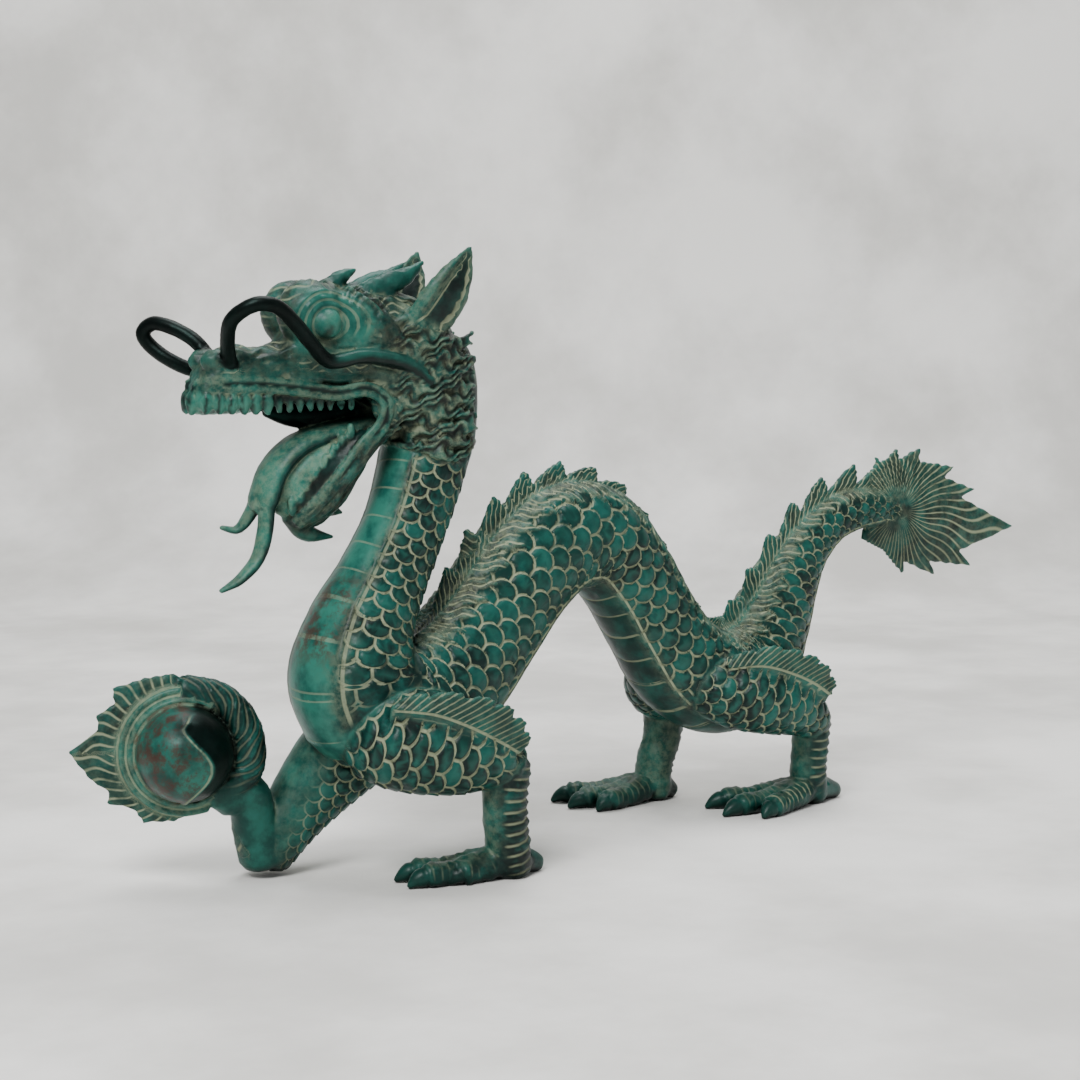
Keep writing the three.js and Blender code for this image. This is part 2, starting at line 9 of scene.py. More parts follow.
import bpy
import numpy as np
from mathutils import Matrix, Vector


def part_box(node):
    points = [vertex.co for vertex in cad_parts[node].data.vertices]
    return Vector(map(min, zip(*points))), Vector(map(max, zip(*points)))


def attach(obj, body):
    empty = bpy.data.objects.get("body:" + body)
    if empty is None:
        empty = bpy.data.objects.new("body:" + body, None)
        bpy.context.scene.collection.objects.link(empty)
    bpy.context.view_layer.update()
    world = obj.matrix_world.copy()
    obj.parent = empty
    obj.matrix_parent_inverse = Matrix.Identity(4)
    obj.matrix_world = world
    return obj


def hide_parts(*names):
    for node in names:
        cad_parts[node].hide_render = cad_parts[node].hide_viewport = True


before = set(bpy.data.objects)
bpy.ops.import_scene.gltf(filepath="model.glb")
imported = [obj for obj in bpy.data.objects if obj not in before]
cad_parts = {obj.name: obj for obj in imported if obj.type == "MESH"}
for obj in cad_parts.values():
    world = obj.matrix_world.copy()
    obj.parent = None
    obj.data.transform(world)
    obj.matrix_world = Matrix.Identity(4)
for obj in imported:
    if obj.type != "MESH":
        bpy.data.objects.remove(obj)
box_low, box_high = [np.array(corner, float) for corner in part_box("dragon")]
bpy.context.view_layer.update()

VOXEL = 0.6
TRIANGLES = 192000
RANDOM = np.random.default_rng(7)
UP = np.array([0.0, 0.0, 1.0])
LEFT_RIGHT = np.array([0.0, 1.0, 0.0])

# ---- Named sizes ----

NECK = [
    [-57, 4, 203, 15, 15], [-61, 4, 186, 19, 19.5], [-68, 2, 166, 18, 18.5], [-78, 0, 144, 17, 17.5],
    [-90, 0, 122, 18.5, 19], [-101, 0, 102, 23, 22.5], [-104, 0, 84, 27.5, 27], [-97, 0, 68, 28, 28],
]
BODY = [
    [-96, 0, 69, 27, 29], [-78, 0, 68, 29, 30], [-56, 0, 79, 25, 27.5], [-35, 0, 99, 22.5, 26],
    [-16, 0, 120, 22.5, 26], [5, 0, 134, 23, 25.5], [27, 0, 133, 22.5, 23.5], [46, 0, 116, 21.5, 22],
    [64, 0, 91, 21.5, 22], [82, 0, 70, 23.5, 24], [106, 0, 60, 26, 25], [127, -1, 68, 23, 25],
    [139, -3, 86, 18, 21], [148, -5, 105, 14.5, 17], [158, -7, 121, 11.5, 13.5],
    [172, -9, 133, 10, 11.5], [189, -11, 138, 9, 10], [206, -12, 138.5, 7.5, 8], [219, -13, 136.5, 3, 3.5],
]
TAIL_FROM = 250          # distance along the body where the narrow tail begins
BAND = 140               # degrees from the spine to the edge of the smooth belly band
PLATE_PITCH = 13.0       # length of a belly plate
FIN_START = 38
TOOTH_PITCH = 18.5
FIN_THICK = [5, 1.8]
FIN_HEIGHTS = [5, 8, 9, 9.5, 9, 8, 7, 6.5, 6, 6, 5.5, 5.5, 6.5, 7.5, 8, 8.5, 9, 10, 11, 13, 16]
FIN_ROOT = 4             # how deep the fin is set into the back
FIN_LEAN = 0.45
FIN_FOOT = 6.5           # from the spine down to the ridge where the tufts begin
FAN_HUB = [217, -13, 137]
FAN_SWING = 8
FAN_TIPS = [
    [112, 29], [86, 31], [60, 36], [27, 46], [9, 56], [-8, 84], [-30, 62], [-50, 45], [-77, 33],
]
FAN_HEEL = [-146, 24]
FAN_NOTCH = 0.82
FAN_RINGS = [(0.33, 4.0), (0.72, 2.1), (1, 0.9)]     # share of the reach, half thickness
LIMBS = {
    "left_arm": [
        [-100, -10, 62, 20], [-96, -22, 60, 21.5], [-82, -31, 57, 21], [-66, -38, 52, 17],
        [-57, -42, 46, 11.5],
    ],
    "left_forearm": [[-57, -42, 47, 10], [-59, -43, 32, 9.4], [-58, -43, 18, 9.3], [-55, -42, 4, 9]],
    "left_thigh": [
        [82, -12, 63, 14], [100, -22, 58, 17.5], [118, -27, 53, 16.5], [133, -29, 47, 13],
        [143, -29, 40, 9.5],
    ],
    "left_shank": [[143, -28, 42, 9.4], [143, -27, 28, 8.8], [143, -26, 15, 8.8], [146, -25, 4, 8.5]],
    "right_thigh": [[78, 12, 64, 13], [86, 21, 59, 15], [95, 26, 52, 14.5], [100, 28, 45, 11.5]],
    "right_shank": [[99, 28, 46, 10.5], [97, 28, 30, 9.3], [92, 28, 17, 9], [92, 28, 4, 8.5]],
    "right_arm": [[-90, 10, 58, 20], [-104, 18, 43, 18], [-119, 22, 26, 14], [-132, 24, 9.6, 11]],
    "right_forearm": [[-134, 24, 9.2, 10.5], [-139, 23, 24, 9.3], [-143, 20, 37, 8]],
}
FEET = [
    {"ankle": [-56, -42], "heel": [-41, -42], "toes": [[-99, -21], [-101, -33], [-85, -40]]},
    {"ankle": [145, -26], "heel": [163, -25], "toes": [[95, -5], [89, -23], [100, -38]]},
    {"ankle": [93, 28], "heel": [102, 26], "toes": [[48, 53], [45, 37], [51, 23]]},
]
TOE = 6.2
TOE_ROWS = [             # share of the toe's length, height of its middle, part of its full radius
    (0.02, TOE + 2, 1.0), (0.35, TOE - 0.5, 1.0), (0.6, TOE - 1.8, 0.82), (0.8, TOE - 1.6, 0.86),
    (0.92, TOE - 2.8, 0.55), (0.995, 1.2, 0.2),
]
LEAVES = [
    [[-110, -34, 76, 4], [-97, -45, 74, 10], [-83, -50, 68, 14], [-70, -52, 61, 12], [-60, -53, 55, 6]],
    [[86, -26, 72, 4], [100, -35, 73, 9], [114, -39, 69, 11], [128, -41, 63, 10], [140, -41, 56, 5]],
    [[72, 25, 70, 4], [80, 33, 70, 8], [90, 38, 66, 10], [100, 39, 60, 9], [108, 39, 54, 5]],
]
LEAF_LOBES = 6
LEAF_THICK = [4.5, 1.8]
LEAF_ROOT = 5
LEAF_LEAN = 0.5
FLAME = [(0.0, 0.2), (0.22, 0.5), (0.48, 0.8), (0.74, 1.06), (0.87, 0.78), (0.97, 0.32)]
LOBE = [(0.0, 0.74), (0.2, 0.92), (0.45, 1.0), (0.7, 1.0), (0.88, 0.93), (0.97, 0.78)]
PEARL = np.array([-171.0, 23.0, 56.0])
PEARL_RADIUS = 19.5
PAW_FACING = math.radians(30)
PAW_RIM = 25
PAW_BACK = 8
PAW_FRINGE = [
    [82, 27], [97, 32], [118, 34], [137, 38.5], [144, 34], [156, 38], [164, 35.5], [179, 46], [196, 39],
    [208, 34], [213, 37.5], [228, 31], [240, 33.5], [262, 29], [285, 25],
]
PALM = [[0.35, 17], [0.8, 12], [1, 3], [0.93, -4], [0.6, -2]]
RIM_LINE, RIM_PITCH = 20.3, 3.3     # first line drawn round the pearl, and from one line to the next

DESIGN_MIDDLE = np.array([46.08, -0.31, 0.0])    # middle of the casting's footprint

# Head frame: forward, left, up.
HEAD_AT = np.array([-70.0, 2.0, 200.0])
HEAD_TURN = math.radians(12)
SKULL = [
    [-19, 12, 14, -16], [-12, 17, 28, -21], [0, 20, 38, -20], [14, 19.5, 43, -12], [30, 18, 44, -1],
    [44, 16.5, 41, -1.5], [54, 14.5, 34, -2], [62, 12.5, 22, -2.5], [72, 12, 19, -6.5],
    [82, 12.5, 20.5, -7.2], [90, 12.5, 16, -7.5], [95.5, 10.5, 10, -7.5], [98.5, 8, 4, -6.5],
]
JAW = [
    [16, -8, 15, 10], [28, -15, 15, 8.5], [40, -29, 13, 11], [50, -42, 10.5, 11], [58, -51, 6, 7],
]
JAW_FLOOR = 5
LIP = [
    [97.5, 5, 1.5], [89, 11.8, 2.5], [74, 12.5, 2.5], [58, 14, 1], [42, 16.5, -1], [30, 18, 0.5],
    [23, 18, -4], [24, 17, -11], [31, 15.5, -19], [40, 13.5, -31], [49, 10, -43], [57, 5.5, -51],
]
TONGUE = [[9, -9], [30, -14], [45, -17.5], [55.5, -22], [64, -31], [68.5, -43]]
TONGUE_BED = [
    [24, 0, -14, 9, 5], [37, 0, -20, 9.5, 6.5], [49, 0, -29, 9, 7.5], [57, 0, -39, 7.5, 7],
    [60, 0, -47, 4.5, 4.5],
]
NAPE = [[-8, 0, 24, 8], [-12, 0, 14, 12.5], [-12.7, 0, 3, 14.5], [-8.8, 0, -14, 17.5], [-5, 0, -27, 17]]
# A dark tube that fills the back of the open mouth: painted shade.
THROAT_SHADE = [[12, -5, -6, 6, 8], [42, -5, -8, 5, 7], [56, -4, -8, 3.5, 5], [66, -3, -6.5, 2, 2.5]]
UPPER_GUM = [[30, 11.5, 0.5, 2.6], [46, 10.5, 0, 2.8], [60, 9, -0.5, 2.8], [70, 8.5, -1.5, 2.8]]
LOWER_GUM = [
    [28, 11.5, -17, 3.2], [36, 10.5, -24, 3.4], [44, 8.2, -33, 3.4], [52, 5.5, -43, 3.2],
    [56, 4, -49, 2.5],
]
PEGS = 8
TOOTH_WIDTH = 4.8        # of the front teeth
FORKS = [
    [[68, -4, -38, 4.2], [72, -6, -49, 3.8], [77, -8, -55, 2.8], [83, -9, -54, 1.6]],
    [[68, 3, -38, 4.6], [69, 4, -54, 4.5], [73, 5, -66, 4], [81, 6, -74, 3.2], [89, 7, -78, 1.5]],
]
BROW_AT, BROW_SIZE = [51, 9, 32.5], [13.5, 11, 14]
BROW_RIDGE = [[43, 43.5], [39, 42.5], [35, 40], [31, 37], [28, 34], [25, 31], [22, 28], [19, 25]]
EYE_AT, EYE_RADIUS = [47, 17, 28.5], 6.3
EYE_STRETCH = 1.45       # the folds round an eye reach further towards its back corner
LID_LINE, LID_PITCH = 3.6, 3.0      # first line drawn round an eye, and from one line to the next
HEAD_BALLS = [
    (BROW_AT, BROW_SIZE, 40), (EYE_AT, [EYE_RADIUS] * 3, 28),
    ([90, 7.5, 13.5], [6.5, 5, 5], 24),     # nostril
    ([84, 8, 10], [6, 5.5, 4.5], 24),       # root of a whisker
    ([17, 13, -4], [9, 5, 9], 24),          # cheek
]
EAR = [[5, 14, 26, 9], [-2, 19, 36, 10.5], [-8, 23, 48, 7.5], [-13, 26, 60, 0.8]]
HORN = [[26, 8, 40, 5.5], [16, 9, 45, 5], [8, 9.5, 48.5, 3.4], [1, 9.5, 54, 0.8]]
CREST = [[40, 0, 42, 4], [34, 0, 47, 3.2], [27, 0, 51, 0.8]]
WHISKER_END = [[47, 20, 13.5], [31, 19.5, 15.5], [12, 20, 12], [2, 19, 5]]
WHISKERS = [
    [
        [84, 8, 10], [89, 18, 21], [90, 27, 30], [83, 33, 35.5], [75, 34, 35], [66, 30, 29],
        [57, 25, 21], *WHISKER_END,
    ],
    [
        [84, -8, 10], [91, -13, 21], [99, -20, 27], [105, -27, 28.5], [108, -30, 25], [106, -29, 20.5],
        [98, -24, 13.5], [88, -21, 9.5], [70, -20, 10], *[[x, -y, z] for x, y, z in WHISKER_END],
    ],
]
WHISKER_RADIUS = 3.0
WHISKER_SIDE = np.array([0.3, 1, 0.2])
BEARD = [
    [[56, 0, -49, 5], [50, 0, -56.5, 4], [38, 0, -59, 0.6]],
    [[46, 0, -41, 5], [40, 0, -47, 3.6], [34, 0, -49, 0.6]],
]

# ---- Curves and tubes ----


def unit(v):
    return v / np.maximum(np.linalg.norm(v, axis=-1, keepdims=True), 1e-9)


def ease(x, low, high):
    """0 below low, 1 above high, smooth between. Also works downwards."""
    t = np.clip((x - low) / (high - low), 0, 1)
    return t * t * (3 - 2 * t)


def smooth(values, t):
    """Smooth curve through rows of values at t, counted in rows."""
    values = np.asarray(values, float)
    end = len(values) - 1
    t = np.clip(np.asarray(t, float), 0, end)
    span = np.minimum(np.floor(t).astype(int), end - 1)
    w, first, last = t - span, span == 0, span == end - 1
    if values.ndim > 1:
        w, first, last = w[..., None], first[..., None], last[..., None]
    b, c = values[span], values[span + 1]
    a = np.where(first, 2 * b - c, values[np.maximum(span - 1, 0)])
    d = np.where(last, 2 * c - b, values[np.minimum(span + 2, end)])
    sb, sc = (c - a) / 2, (d - b) / 2
    return b + sb * w + (3 * (c - b) - 2 * sb - sc) * w * w + (sb + sc - 2 * (c - b)) * w ** 3


def read_off(place, known, rows):
    """Rows of values, known at some places, read off at other places."""
    return np.stack([np.interp(place, known, column) for column in rows.T], axis=1)


def travelled(points):
    """Distance along a line of points, at each of them."""
    return np.concatenate([[0], np.cumsum(np.linalg.norm(np.diff(points, axis=0), axis=1))])


def centripetal(points, steps):
    """Places and directions along a centripetal Catmull-Rom curve."""
    p = np.asarray(points, float)
    p = np.vstack([2 * p[0] - p[1], p, 2 * p[-1] - p[-2]])
    places, ways = [], []
    for i in range(1, len(p) - 2):
        x0, x1, x2, x3 = p[i - 1:i + 3]
        d0, d1, d2 = [max(np.linalg.norm(b - a) ** 0.5, 1e-4) for a, b in ((x0, x1), (x1, x2), (x2, x3))]
        t1 = ((x1 - x0) / d0 - (x2 - x0) / (d0 + d1) + (x2 - x1) / d1) * d1
        t2 = ((x2 - x1) / d1 - (x3 - x1) / (d1 + d2) + (x3 - x2) / d2) * d1
        bend, twist = -3 * x1 + 3 * x2 - 2 * t1 - t2, 2 * x1 - 2 * x2 + t1 + t2
        for k in range(steps + (i == len(p) - 3)):
            w = k / steps
            places.append(x1 + t1 * w + bend * w * w + twist * w ** 3)
            ways.append(t1 + 2 * bend * w + 3 * twist * w * w)
    return np.array(places), unit(np.array(ways))


def cap_faces(ring, centre, forwards):
    """A fan of triangles from a middle vertex to a ring of vertex numbers."""
    turned = np.roll(ring, -1)
    middle = np.full(len(ring), centre)
    return np.stack([middle, ring, turned] if forwards else [middle, turned, ring], axis=1)


def facing_out(points, faces):
    """The closed skin with its triangles turned outwards."""
    corners = points[faces]
    volume = np.einsum("ij,ij->", corners[:, 0], np.cross(corners[:, 1], corners[:, 2]))
    return points, faces if volume > 0 else faces[:, ::-1]


def loft(rings):
    """Vertices and triangles of a skin over an array of rings, closed at both ends."""
    count, n = rings.shape[:2]
    grid = np.arange(count * n).reshape(count, n)
    a, b = grid[:-1], grid[1:]
    an, bn = np.roll(a, -1, axis=1), np.roll(b, -1, axis=1)
    faces = [np.stack([a, an, bn], -1).reshape(-1, 3), np.stack([a, bn, b], -1).reshape(-1, 3)]
    faces += [cap_faces(grid[0], count * n, False), cap_faces(grid[-1], count * n + 1, True)]
    points = np.vstack([rings.reshape(-1, 3), rings[0].mean(0), rings[-1].mean(0)])
    return facing_out(points, np.vstack(faces))


BATCH = 20000            # points handled at a time


class Tube:
    """A tube of changing elliptical size. It can tell where on it any point lies."""

    def __init__(self, kind, stations, hint=LEFT_RIGHT, steps=8, rounded=True):
        stations = np.asarray(stations, float)
        self.kind = kind
        self.at, self.way = centripetal(stations[:, :3], steps)
        sizes = smooth(stations[:, 3:], np.linspace(0, len(stations) - 1, len(self.at)))
        self.size = np.maximum(sizes if sizes.shape[1] > 1 else np.repeat(sizes, 2, axis=1), 0.3)
        self.side = unit(hint - self.way * (self.way @ hint)[:, None])
        self.up = np.cross(self.way, self.side)
        self.s = travelled(self.at)
        self.length = self.s[-1]
        self.rounded = rounded

    def ring(self, i, sides, shift=0.0, scale=1.0):
        turn = np.linspace(0, 2 * math.pi, sides, endpoint=False)[:, None]
        return (self.at[i] + self.way[i] * shift + np.sin(turn) * self.size[i, 0] * scale * self.side[i]
                + np.cos(turn) * self.size[i, 1] * scale * self.up[i])

    def mesh(self, sides=32):
        rings = [self.ring(i, sides) for i in range(len(self.at))]
        if self.rounded:
            for turn in np.radians([30, 60, 85]):
                low, high = [0.6 * self.size[end, 0] * math.sin(turn) for end in (0, -1)]
                rings.insert(0, self.ring(0, sides, -low, math.cos(turn)))
                rings.append(self.ring(-1, sides, high, math.cos(turn)))
        return loft(np.array(rings))

    def frame(self, points):
        """Distance along, distance to the side and above the axis, for the points near the tube."""
        reach = self.size.max() + 6
        inside = np.all((points > self.at.min(0) - reach) & (points < self.at.max(0) + reach), axis=1)
        picked = np.flatnonzero(inside)
        found = np.zeros((3, len(picked)))
        for start in range(0, len(picked), BATCH):
            p = points[picked[start:start + BATCH]]
            near = np.argmin((self.at ** 2).sum(1) - 2 * p @ self.at.T, axis=1)
            away = p - self.at[near]
            for row, axes in enumerate((self.way, self.side, self.up)):
                found[row, start:start + BATCH] = np.einsum("ij,ij->i", away, axes[near])
            found[0, start:start + BATCH] += self.s[near]
        return *found, picked

    def locate(self, points):
        """Distance along, turn from `up`, and distance off the tube's surface, for each point."""
        s, across, above, picked = self.frame(points)
        w, h = [np.interp(s, self.s, self.size[:, k]) for k in (0, 1)]
        past = np.maximum(-s, 0) + np.maximum(s - self.length, 0)
        from_wall = (np.hypot(across / w, above / h) - 1) * (w + h) / 2
        along, turn, off = np.zeros(len(points)), np.zeros(len(points)), np.full(len(points), 1e3)
        along[picked] = s
        turn[picked] = np.arctan2(across / w, above / h)
        off[picked] = np.hypot(np.maximum(from_wall, 0), past) + np.minimum(from_wall, 0)
        return along, turn, off


def saw_blade(place, heights, teeth, thick, root, lean, profile):
    """A thin blade with leaning teeth.

    place(t) gives position, way, up and side arrays, and the heights are spread along the blade.
    """
    t = np.array([(tooth + share) / teeth for tooth in range(teeth) for share, _ in profile])
    share = np.array([height for _ in range(teeth) for _, height in profile])
    at, way, up, side = place(t)
    height = (smooth(heights, t * (len(heights) - 1)) * share)[:, None]
    rings = []
    for level in np.linspace(-root, 1, 8):
        if level < 0:
            rings.append((at + up * level, thick[0] / 2))
        else:
            rings.append((at + up * height * level + way * lean * height * level,
                          (thick[0] + (thick[1] - thick[0]) * level) / 2))
    left = [p - side * half for p, half in rings]
    right = [p + side * half for p, half in rings[::-1]]
    return loft(np.stack(left + right, axis=1))


def ellipsoid(at, size, sides=32):
    """Vertices and triangles of a ball scaled to three half sizes."""
    turns = np.linspace(0, 2 * math.pi, sides, endpoint=False)
    levels = np.linspace(-math.pi / 2, math.pi / 2, sides // 2 + 1)[1:-1]
    rings = []
    for v in levels:
        rings.append([[math.cos(v) * math.cos(u), math.cos(v) * math.sin(u), math.sin(v)] for u in turns])
    points, faces = loft(np.array(rings))
    points[-2], points[-1] = [0, 0, -1], [0, 0, 1]
    return points * np.array(size) + np.array(at), faces


# ---- Forms ----

FORWARD = np.array([-math.cos(HEAD_TURN), math.sin(HEAD_TURN), 0.0])
HEAD_LEFT = np.cross(UP, FORWARD)
HEAD_BASIS = np.array([FORWARD, HEAD_LEFT, UP])


def from_head(rows):
    """Stations given as forward, left, up and sizes, in the design frame."""
    rows = np.asarray(rows, float)
    return np.hstack([rows[:, :3] @ HEAD_BASIS + HEAD_AT, rows[:, 3:]])


def skins_from_head(skins):
    return [(points @ HEAD_BASIS + HEAD_AT, faces) for points, faces in skins]


def both(kind, rows, **options):
    """The same tube on the left and the right of the head."""
    mirrored = np.array(rows, float)
    mirrored[:, 1] *= -1
    return [Tube(kind, from_head(stations), **options) for stations in (rows, mirrored)]


def skull_row(f):
    """Half width, top and bottom of the skull at a distance forward."""
    table = np.array(SKULL, float)
    t = np.interp(f, table[:, 0], np.arange(len(table)))
    return smooth(table[:, 1:], t)


def skull_side(f, u):
    half, top, bottom = np.moveaxis(skull_row(f), -1, 0)
    q = np.abs(u - (top + bottom) / 2) / np.maximum((top - bottom) / 2, 1)
    return np.where(q < 1, half * np.maximum(1 - q ** 2.67, 0) ** 0.375, 0)


def head_side(f, u):
    """How far left the side of the head or nape is, seen square from the side."""
    f, u = np.asarray(f, float), np.asarray(u, float)
    q = ((f - BROW_AT[0]) / BROW_SIZE[0]) ** 2 + ((u - BROW_AT[2]) / BROW_SIZE[2]) ** 2
    brow = np.where(q < 1, BROW_AT[1] + BROW_SIZE[1] * np.sqrt(np.maximum(1 - q, 0)), 0)
    middle = np.interp(u, [-34, -14, 3, 30], [-2, -8.8, -12.7, -14])
    radius = np.interp(u, [-34, -14, 3, 30], [18, 19, 15.5, 12])
    nape = np.sqrt(np.maximum(radius ** 2 - (f - middle) ** 2, 0))
    return np.maximum(np.maximum(skull_side(f, u), brow), nape)


def on_head(kind, path, sizes, sink):
    """The same raised stroke on both sides of the head, given by its side view (forward, up)."""
    path = np.asarray(path, float)
    sizes = np.broadcast_to(np.asarray(sizes, float), len(path))
    left = head_side(path[:, 0], path[:, 1]) - sink
    return both(kind, np.column_stack([path[:, 0], left, path[:, 1], sizes]), hint=UP, steps=4)


def jaw_place(share, left, deep):
    """Points on the lower jaw: share of its length, part of its half width, part of its thickness."""
    t = share * (len(JAW) - 1)
    f, u, half, thick = smooth(JAW, t).T
    ahead, behind = smooth(JAW, t + 0.2), smooth(JAW, t - 0.2)
    way = unit((ahead - behind)[:, :2])
    return np.column_stack([f + way[:, 1] * deep * thick, left * half, u - way[:, 0] * deep * thick])


def swell(count, middle, ends, first=0.3, last=2.9):
    """Sizes along a stroke that is thickest in its middle."""
    return middle * np.sin(np.linspace(first, last, count)) + ends


def eye_strokes():
    """Three folds round each eye and the hair on the ridge of the brow."""
    tubes = []
    for reach, size, first, last in ((7.9, 0.9, -40, 215), (10.8, 0.9, 5, 205), (13.6, 0.8, 20, 200)):
        angles = np.radians(np.linspace(first, last, 12))
        stretch = np.where(np.cos(angles) < 0, EYE_STRETCH, 1.0)
        f = EYE_AT[0] + reach * stretch * np.cos(angles)
        u = EYE_AT[2] + reach * 0.95 * np.sin(angles)
        tubes += on_head("lid", np.column_stack([f, u]), swell(12, size, 0.3, 0.35, 2.8), 0.4)
    for t in np.linspace(0, len(BROW_RIDGE) - 1, 13):
        f, u = smooth(BROW_RIDGE, t)
        swing = math.radians(40 + 8 * t)
        tip = [f - 8.5 * math.cos(swing * 0.5), u + 3.2 - 0.9 * t]
        middle = [(f + tip[0]) / 2 + 0.6, (u + tip[1]) / 2 + 0.8]
        tubes += on_head("brow_hair", [[f + 1.5, u - 3], middle, tip], [1.1, 1.5, 0.5], -0.5)
    return tubes


def face_strokes():
    """Strokes on the cheek, and wrinkles across the snout."""
    tubes = []
    for path, size in (
        ([[56, 21], [47, 17], [36, 16.5], [24, 19], [12, 22]], 1.6),
        ([[42, 20], [32, 20], [22, 22.5], [12, 26]], 1.3),
        ([[25, 26], [16, 29], [8, 33]], 1.4),
        ([[60, 8], [50, 7], [40, 6], [30, 7], [20, 7], [12, 4]], 1.5),
        ([[62, 5.5], [42, 3.5], [30, 4.5], [20, 3], [17, -7], [22, -17]], 1.4),
        ([[14, 1], [12, -6], [15, -14], [20, -21]], 1.3),
        ([[9, -1], [7, -8], [8, -14]], 1.3),
    ):
        tubes += on_head("hair", path, size, 0.3)
    for row in range(5):
        f = np.linspace(88 - 3 * row, 54 + 2 * row, 7)
        u = 16.5 - 2.6 * row + 1.1 * np.sin(f * 0.55 + row * 1.7) + (88 - f) * 0.02
        tubes += on_head("hair", np.column_stack([f, u]), swell(7, 1.2, 0.3), 0.4)
    return tubes


def mane_strokes():
    """Three columns of waving locks, from the cheek to the back of the neck."""
    tubes = []
    for column, (first, last, rows, top, step, size) in enumerate((
        (26, 6, 8, 13, 3.8, 1.5), (14, -7, 13, 25, 3.9, 2.0), (2, -21, 13, 22, 3.9, 2.3),
    )):
        for row in range(rows):
            f = np.linspace(first, last, 6) + RANDOM.uniform(-1.5, 1.5)
            wave = 1.6 * np.sin(np.linspace(0, 5.2, 6) + row * 2.1 + column)
            u = top - step * row + wave + np.linspace(-1.5, 2.5, 6) * (0.4 + 0.2 * column)
            sizes = size * np.array([0.6, 1, 1.05, 1, 0.8, 0.4])
            tubes += on_head("mane", np.column_stack([f, u]), sizes, 0.3)
    return tubes


def jaw_strokes():
    """Four long strokes along each side of the lower jaw."""
    tubes = []
    share = np.linspace(0.08, 0.95, 9)
    for left, deep, swing in ((1.06, 0.42, 0), (0.98, 0.66, 2), (0.76, 0.88, 4), (0.4, 1.0, 1)):
        rows = jaw_place(share, left, deep + 0.06 * np.sin(share * 16 + swing))
        tubes += both("hair", np.column_stack([rows, swell(9, 1.1, 0.4)]), hint=UP, steps=4)
    return tubes


def head_tubes():
    """Lips, gums, tongue, nape, ears, horns, whiskers and beard."""
    lip = np.array(LIP, float)
    way = unit(np.gradient(lip[:, [0, 2]], axis=0))
    outward = np.column_stack([way[:, 1], np.zeros(len(lip)), -way[:, 0]])
    tubes = []
    for away, size in ((0, 1.5), (3.7, 1.15)):
        tubes += both("lip", np.column_stack([lip + outward * away, np.full(len(lip), size)]))
    inward = np.array([0, 1.6, 0])
    tubes += both("gum", np.column_stack([lip + outward * 1.8 - inward, np.full(len(lip), 2.0)]))
    tubes.append(Tube("tongue", from_head([[f, 0, u, 9.5, 4.6] for f, u in TONGUE])))
    for kind, rows in (("nape", NAPE), ("bed", TONGUE_BED), ("throat", THROAT_SHADE)):
        tubes.append(Tube(kind, from_head(rows)))
    tubes += both("gum", LOWER_GUM) + both("gum", UPPER_GUM)
    tubes += [Tube("tongue", from_head([row + [row[3] * 0.62] for row in fork])) for fork in FORKS]
    tubes += both("ear", [[x, y, z, r, r * 0.5] for x, y, z, r in EAR], hint=FORWARD)
    tubes += both("horn", [row + [row[3] * 0.8] for row in HORN], hint=UP)
    tubes.append(Tube("horn", from_head(CREST)))
    for path in WHISKERS:
        rows = [row + [WHISKER_RADIUS] for row in path]
        tubes.append(Tube("whisker", from_head(rows), hint=WHISKER_SIDE, steps=10))
    tubes += [Tube("hair", from_head(tuft)) for tuft in BEARD]
    return tubes


def teeth():
    """The blocks round the front of the upper jaw, and the pegs of both jaws."""
    skins = []
    for side in (1, -1):
        for f in np.linspace(70, 95, 6):
            half = skull_row(f)[0]
            skins.append(ellipsoid([f, side * (half * 0.9), -2.6], [2.6, 2.6, 5.2], 16))
        skins.append(ellipsoid([99, side * 3.2, -2.8], [2.4, 3.2, 4.9], 16))
        for i in range(PEGS):
            at = [65 - 4.3 * i, side * (10.5 + 0.36 * i), -3.2 + 0.12 * i]
            skins.append(ellipsoid(at, [1.7, 1.7, 4.2], 12))
        for t in np.arange(PEGS) / (PEGS - 1):
            root = np.array([31 + 24 * t, side * (11.5 - 4.5 * t), -19 - 29 * t])
            skins.append(ellipsoid(root + [3.4, 0, 3.0], [2.0, 1.7, 4.6], 12))
    return skins


def skull_skin():
    f = smooth(np.array(SKULL)[:, :1], np.linspace(0, len(SKULL) - 1, 97))[:, 0]
    rows = skull_row(f)
    turn = np.linspace(0, 2 * math.pi, 48, endpoint=False)
    across = np.sign(np.sin(turn)) * np.abs(np.sin(turn)) ** 0.75
    upward = np.sign(np.cos(turn)) * np.abs(np.cos(turn)) ** 0.75
    rings = np.stack([
        np.repeat(f[:, None], 48, axis=1), rows[:, :1] * across,
        (rows[:, 1:2] + rows[:, 2:3]) / 2 + (rows[:, 1:2] - rows[:, 2:3]) / 2 * upward,
    ], axis=-1)
    return loft(rings)


def jaw_skin():
    end = 24
    rows = smooth(JAW, np.linspace(0, len(JAW) - 1, end + 1))
    rings = []
    for i, (f, u, half, thick) in enumerate(rows):
        way = rows[min(i + 1, end)] - rows[max(i - 1, 0)]
        way = way[:2] / np.linalg.norm(way[:2])
        floor = JAW_FLOOR * ease(min(i, end - i), 0, 5)
        shape = [(0, floor), (0.55, floor * 0.8), (0.75, 0), (0.9, -0.6)]
        shape += [(1, 0.3), (1.04, thick * 0.4), (0.72, thick * 0.85), (0, thick)]
        shape += [(-left, deep) for left, deep in shape[-2:0:-1]]
        rings.append([[f + way[1] * deep, left * half, u - way[0] * deep] for left, deep in shape])
    return loft(np.array(rings))


def head_balls():
    """Brows, eyes, nostrils, whisker roots and cheeks."""
    balls = []
    for side in (1, -1):
        balls += [ellipsoid(np.array(at) * [1, side, 1], size, sides) for at, size, sides in HEAD_BALLS]
    return balls


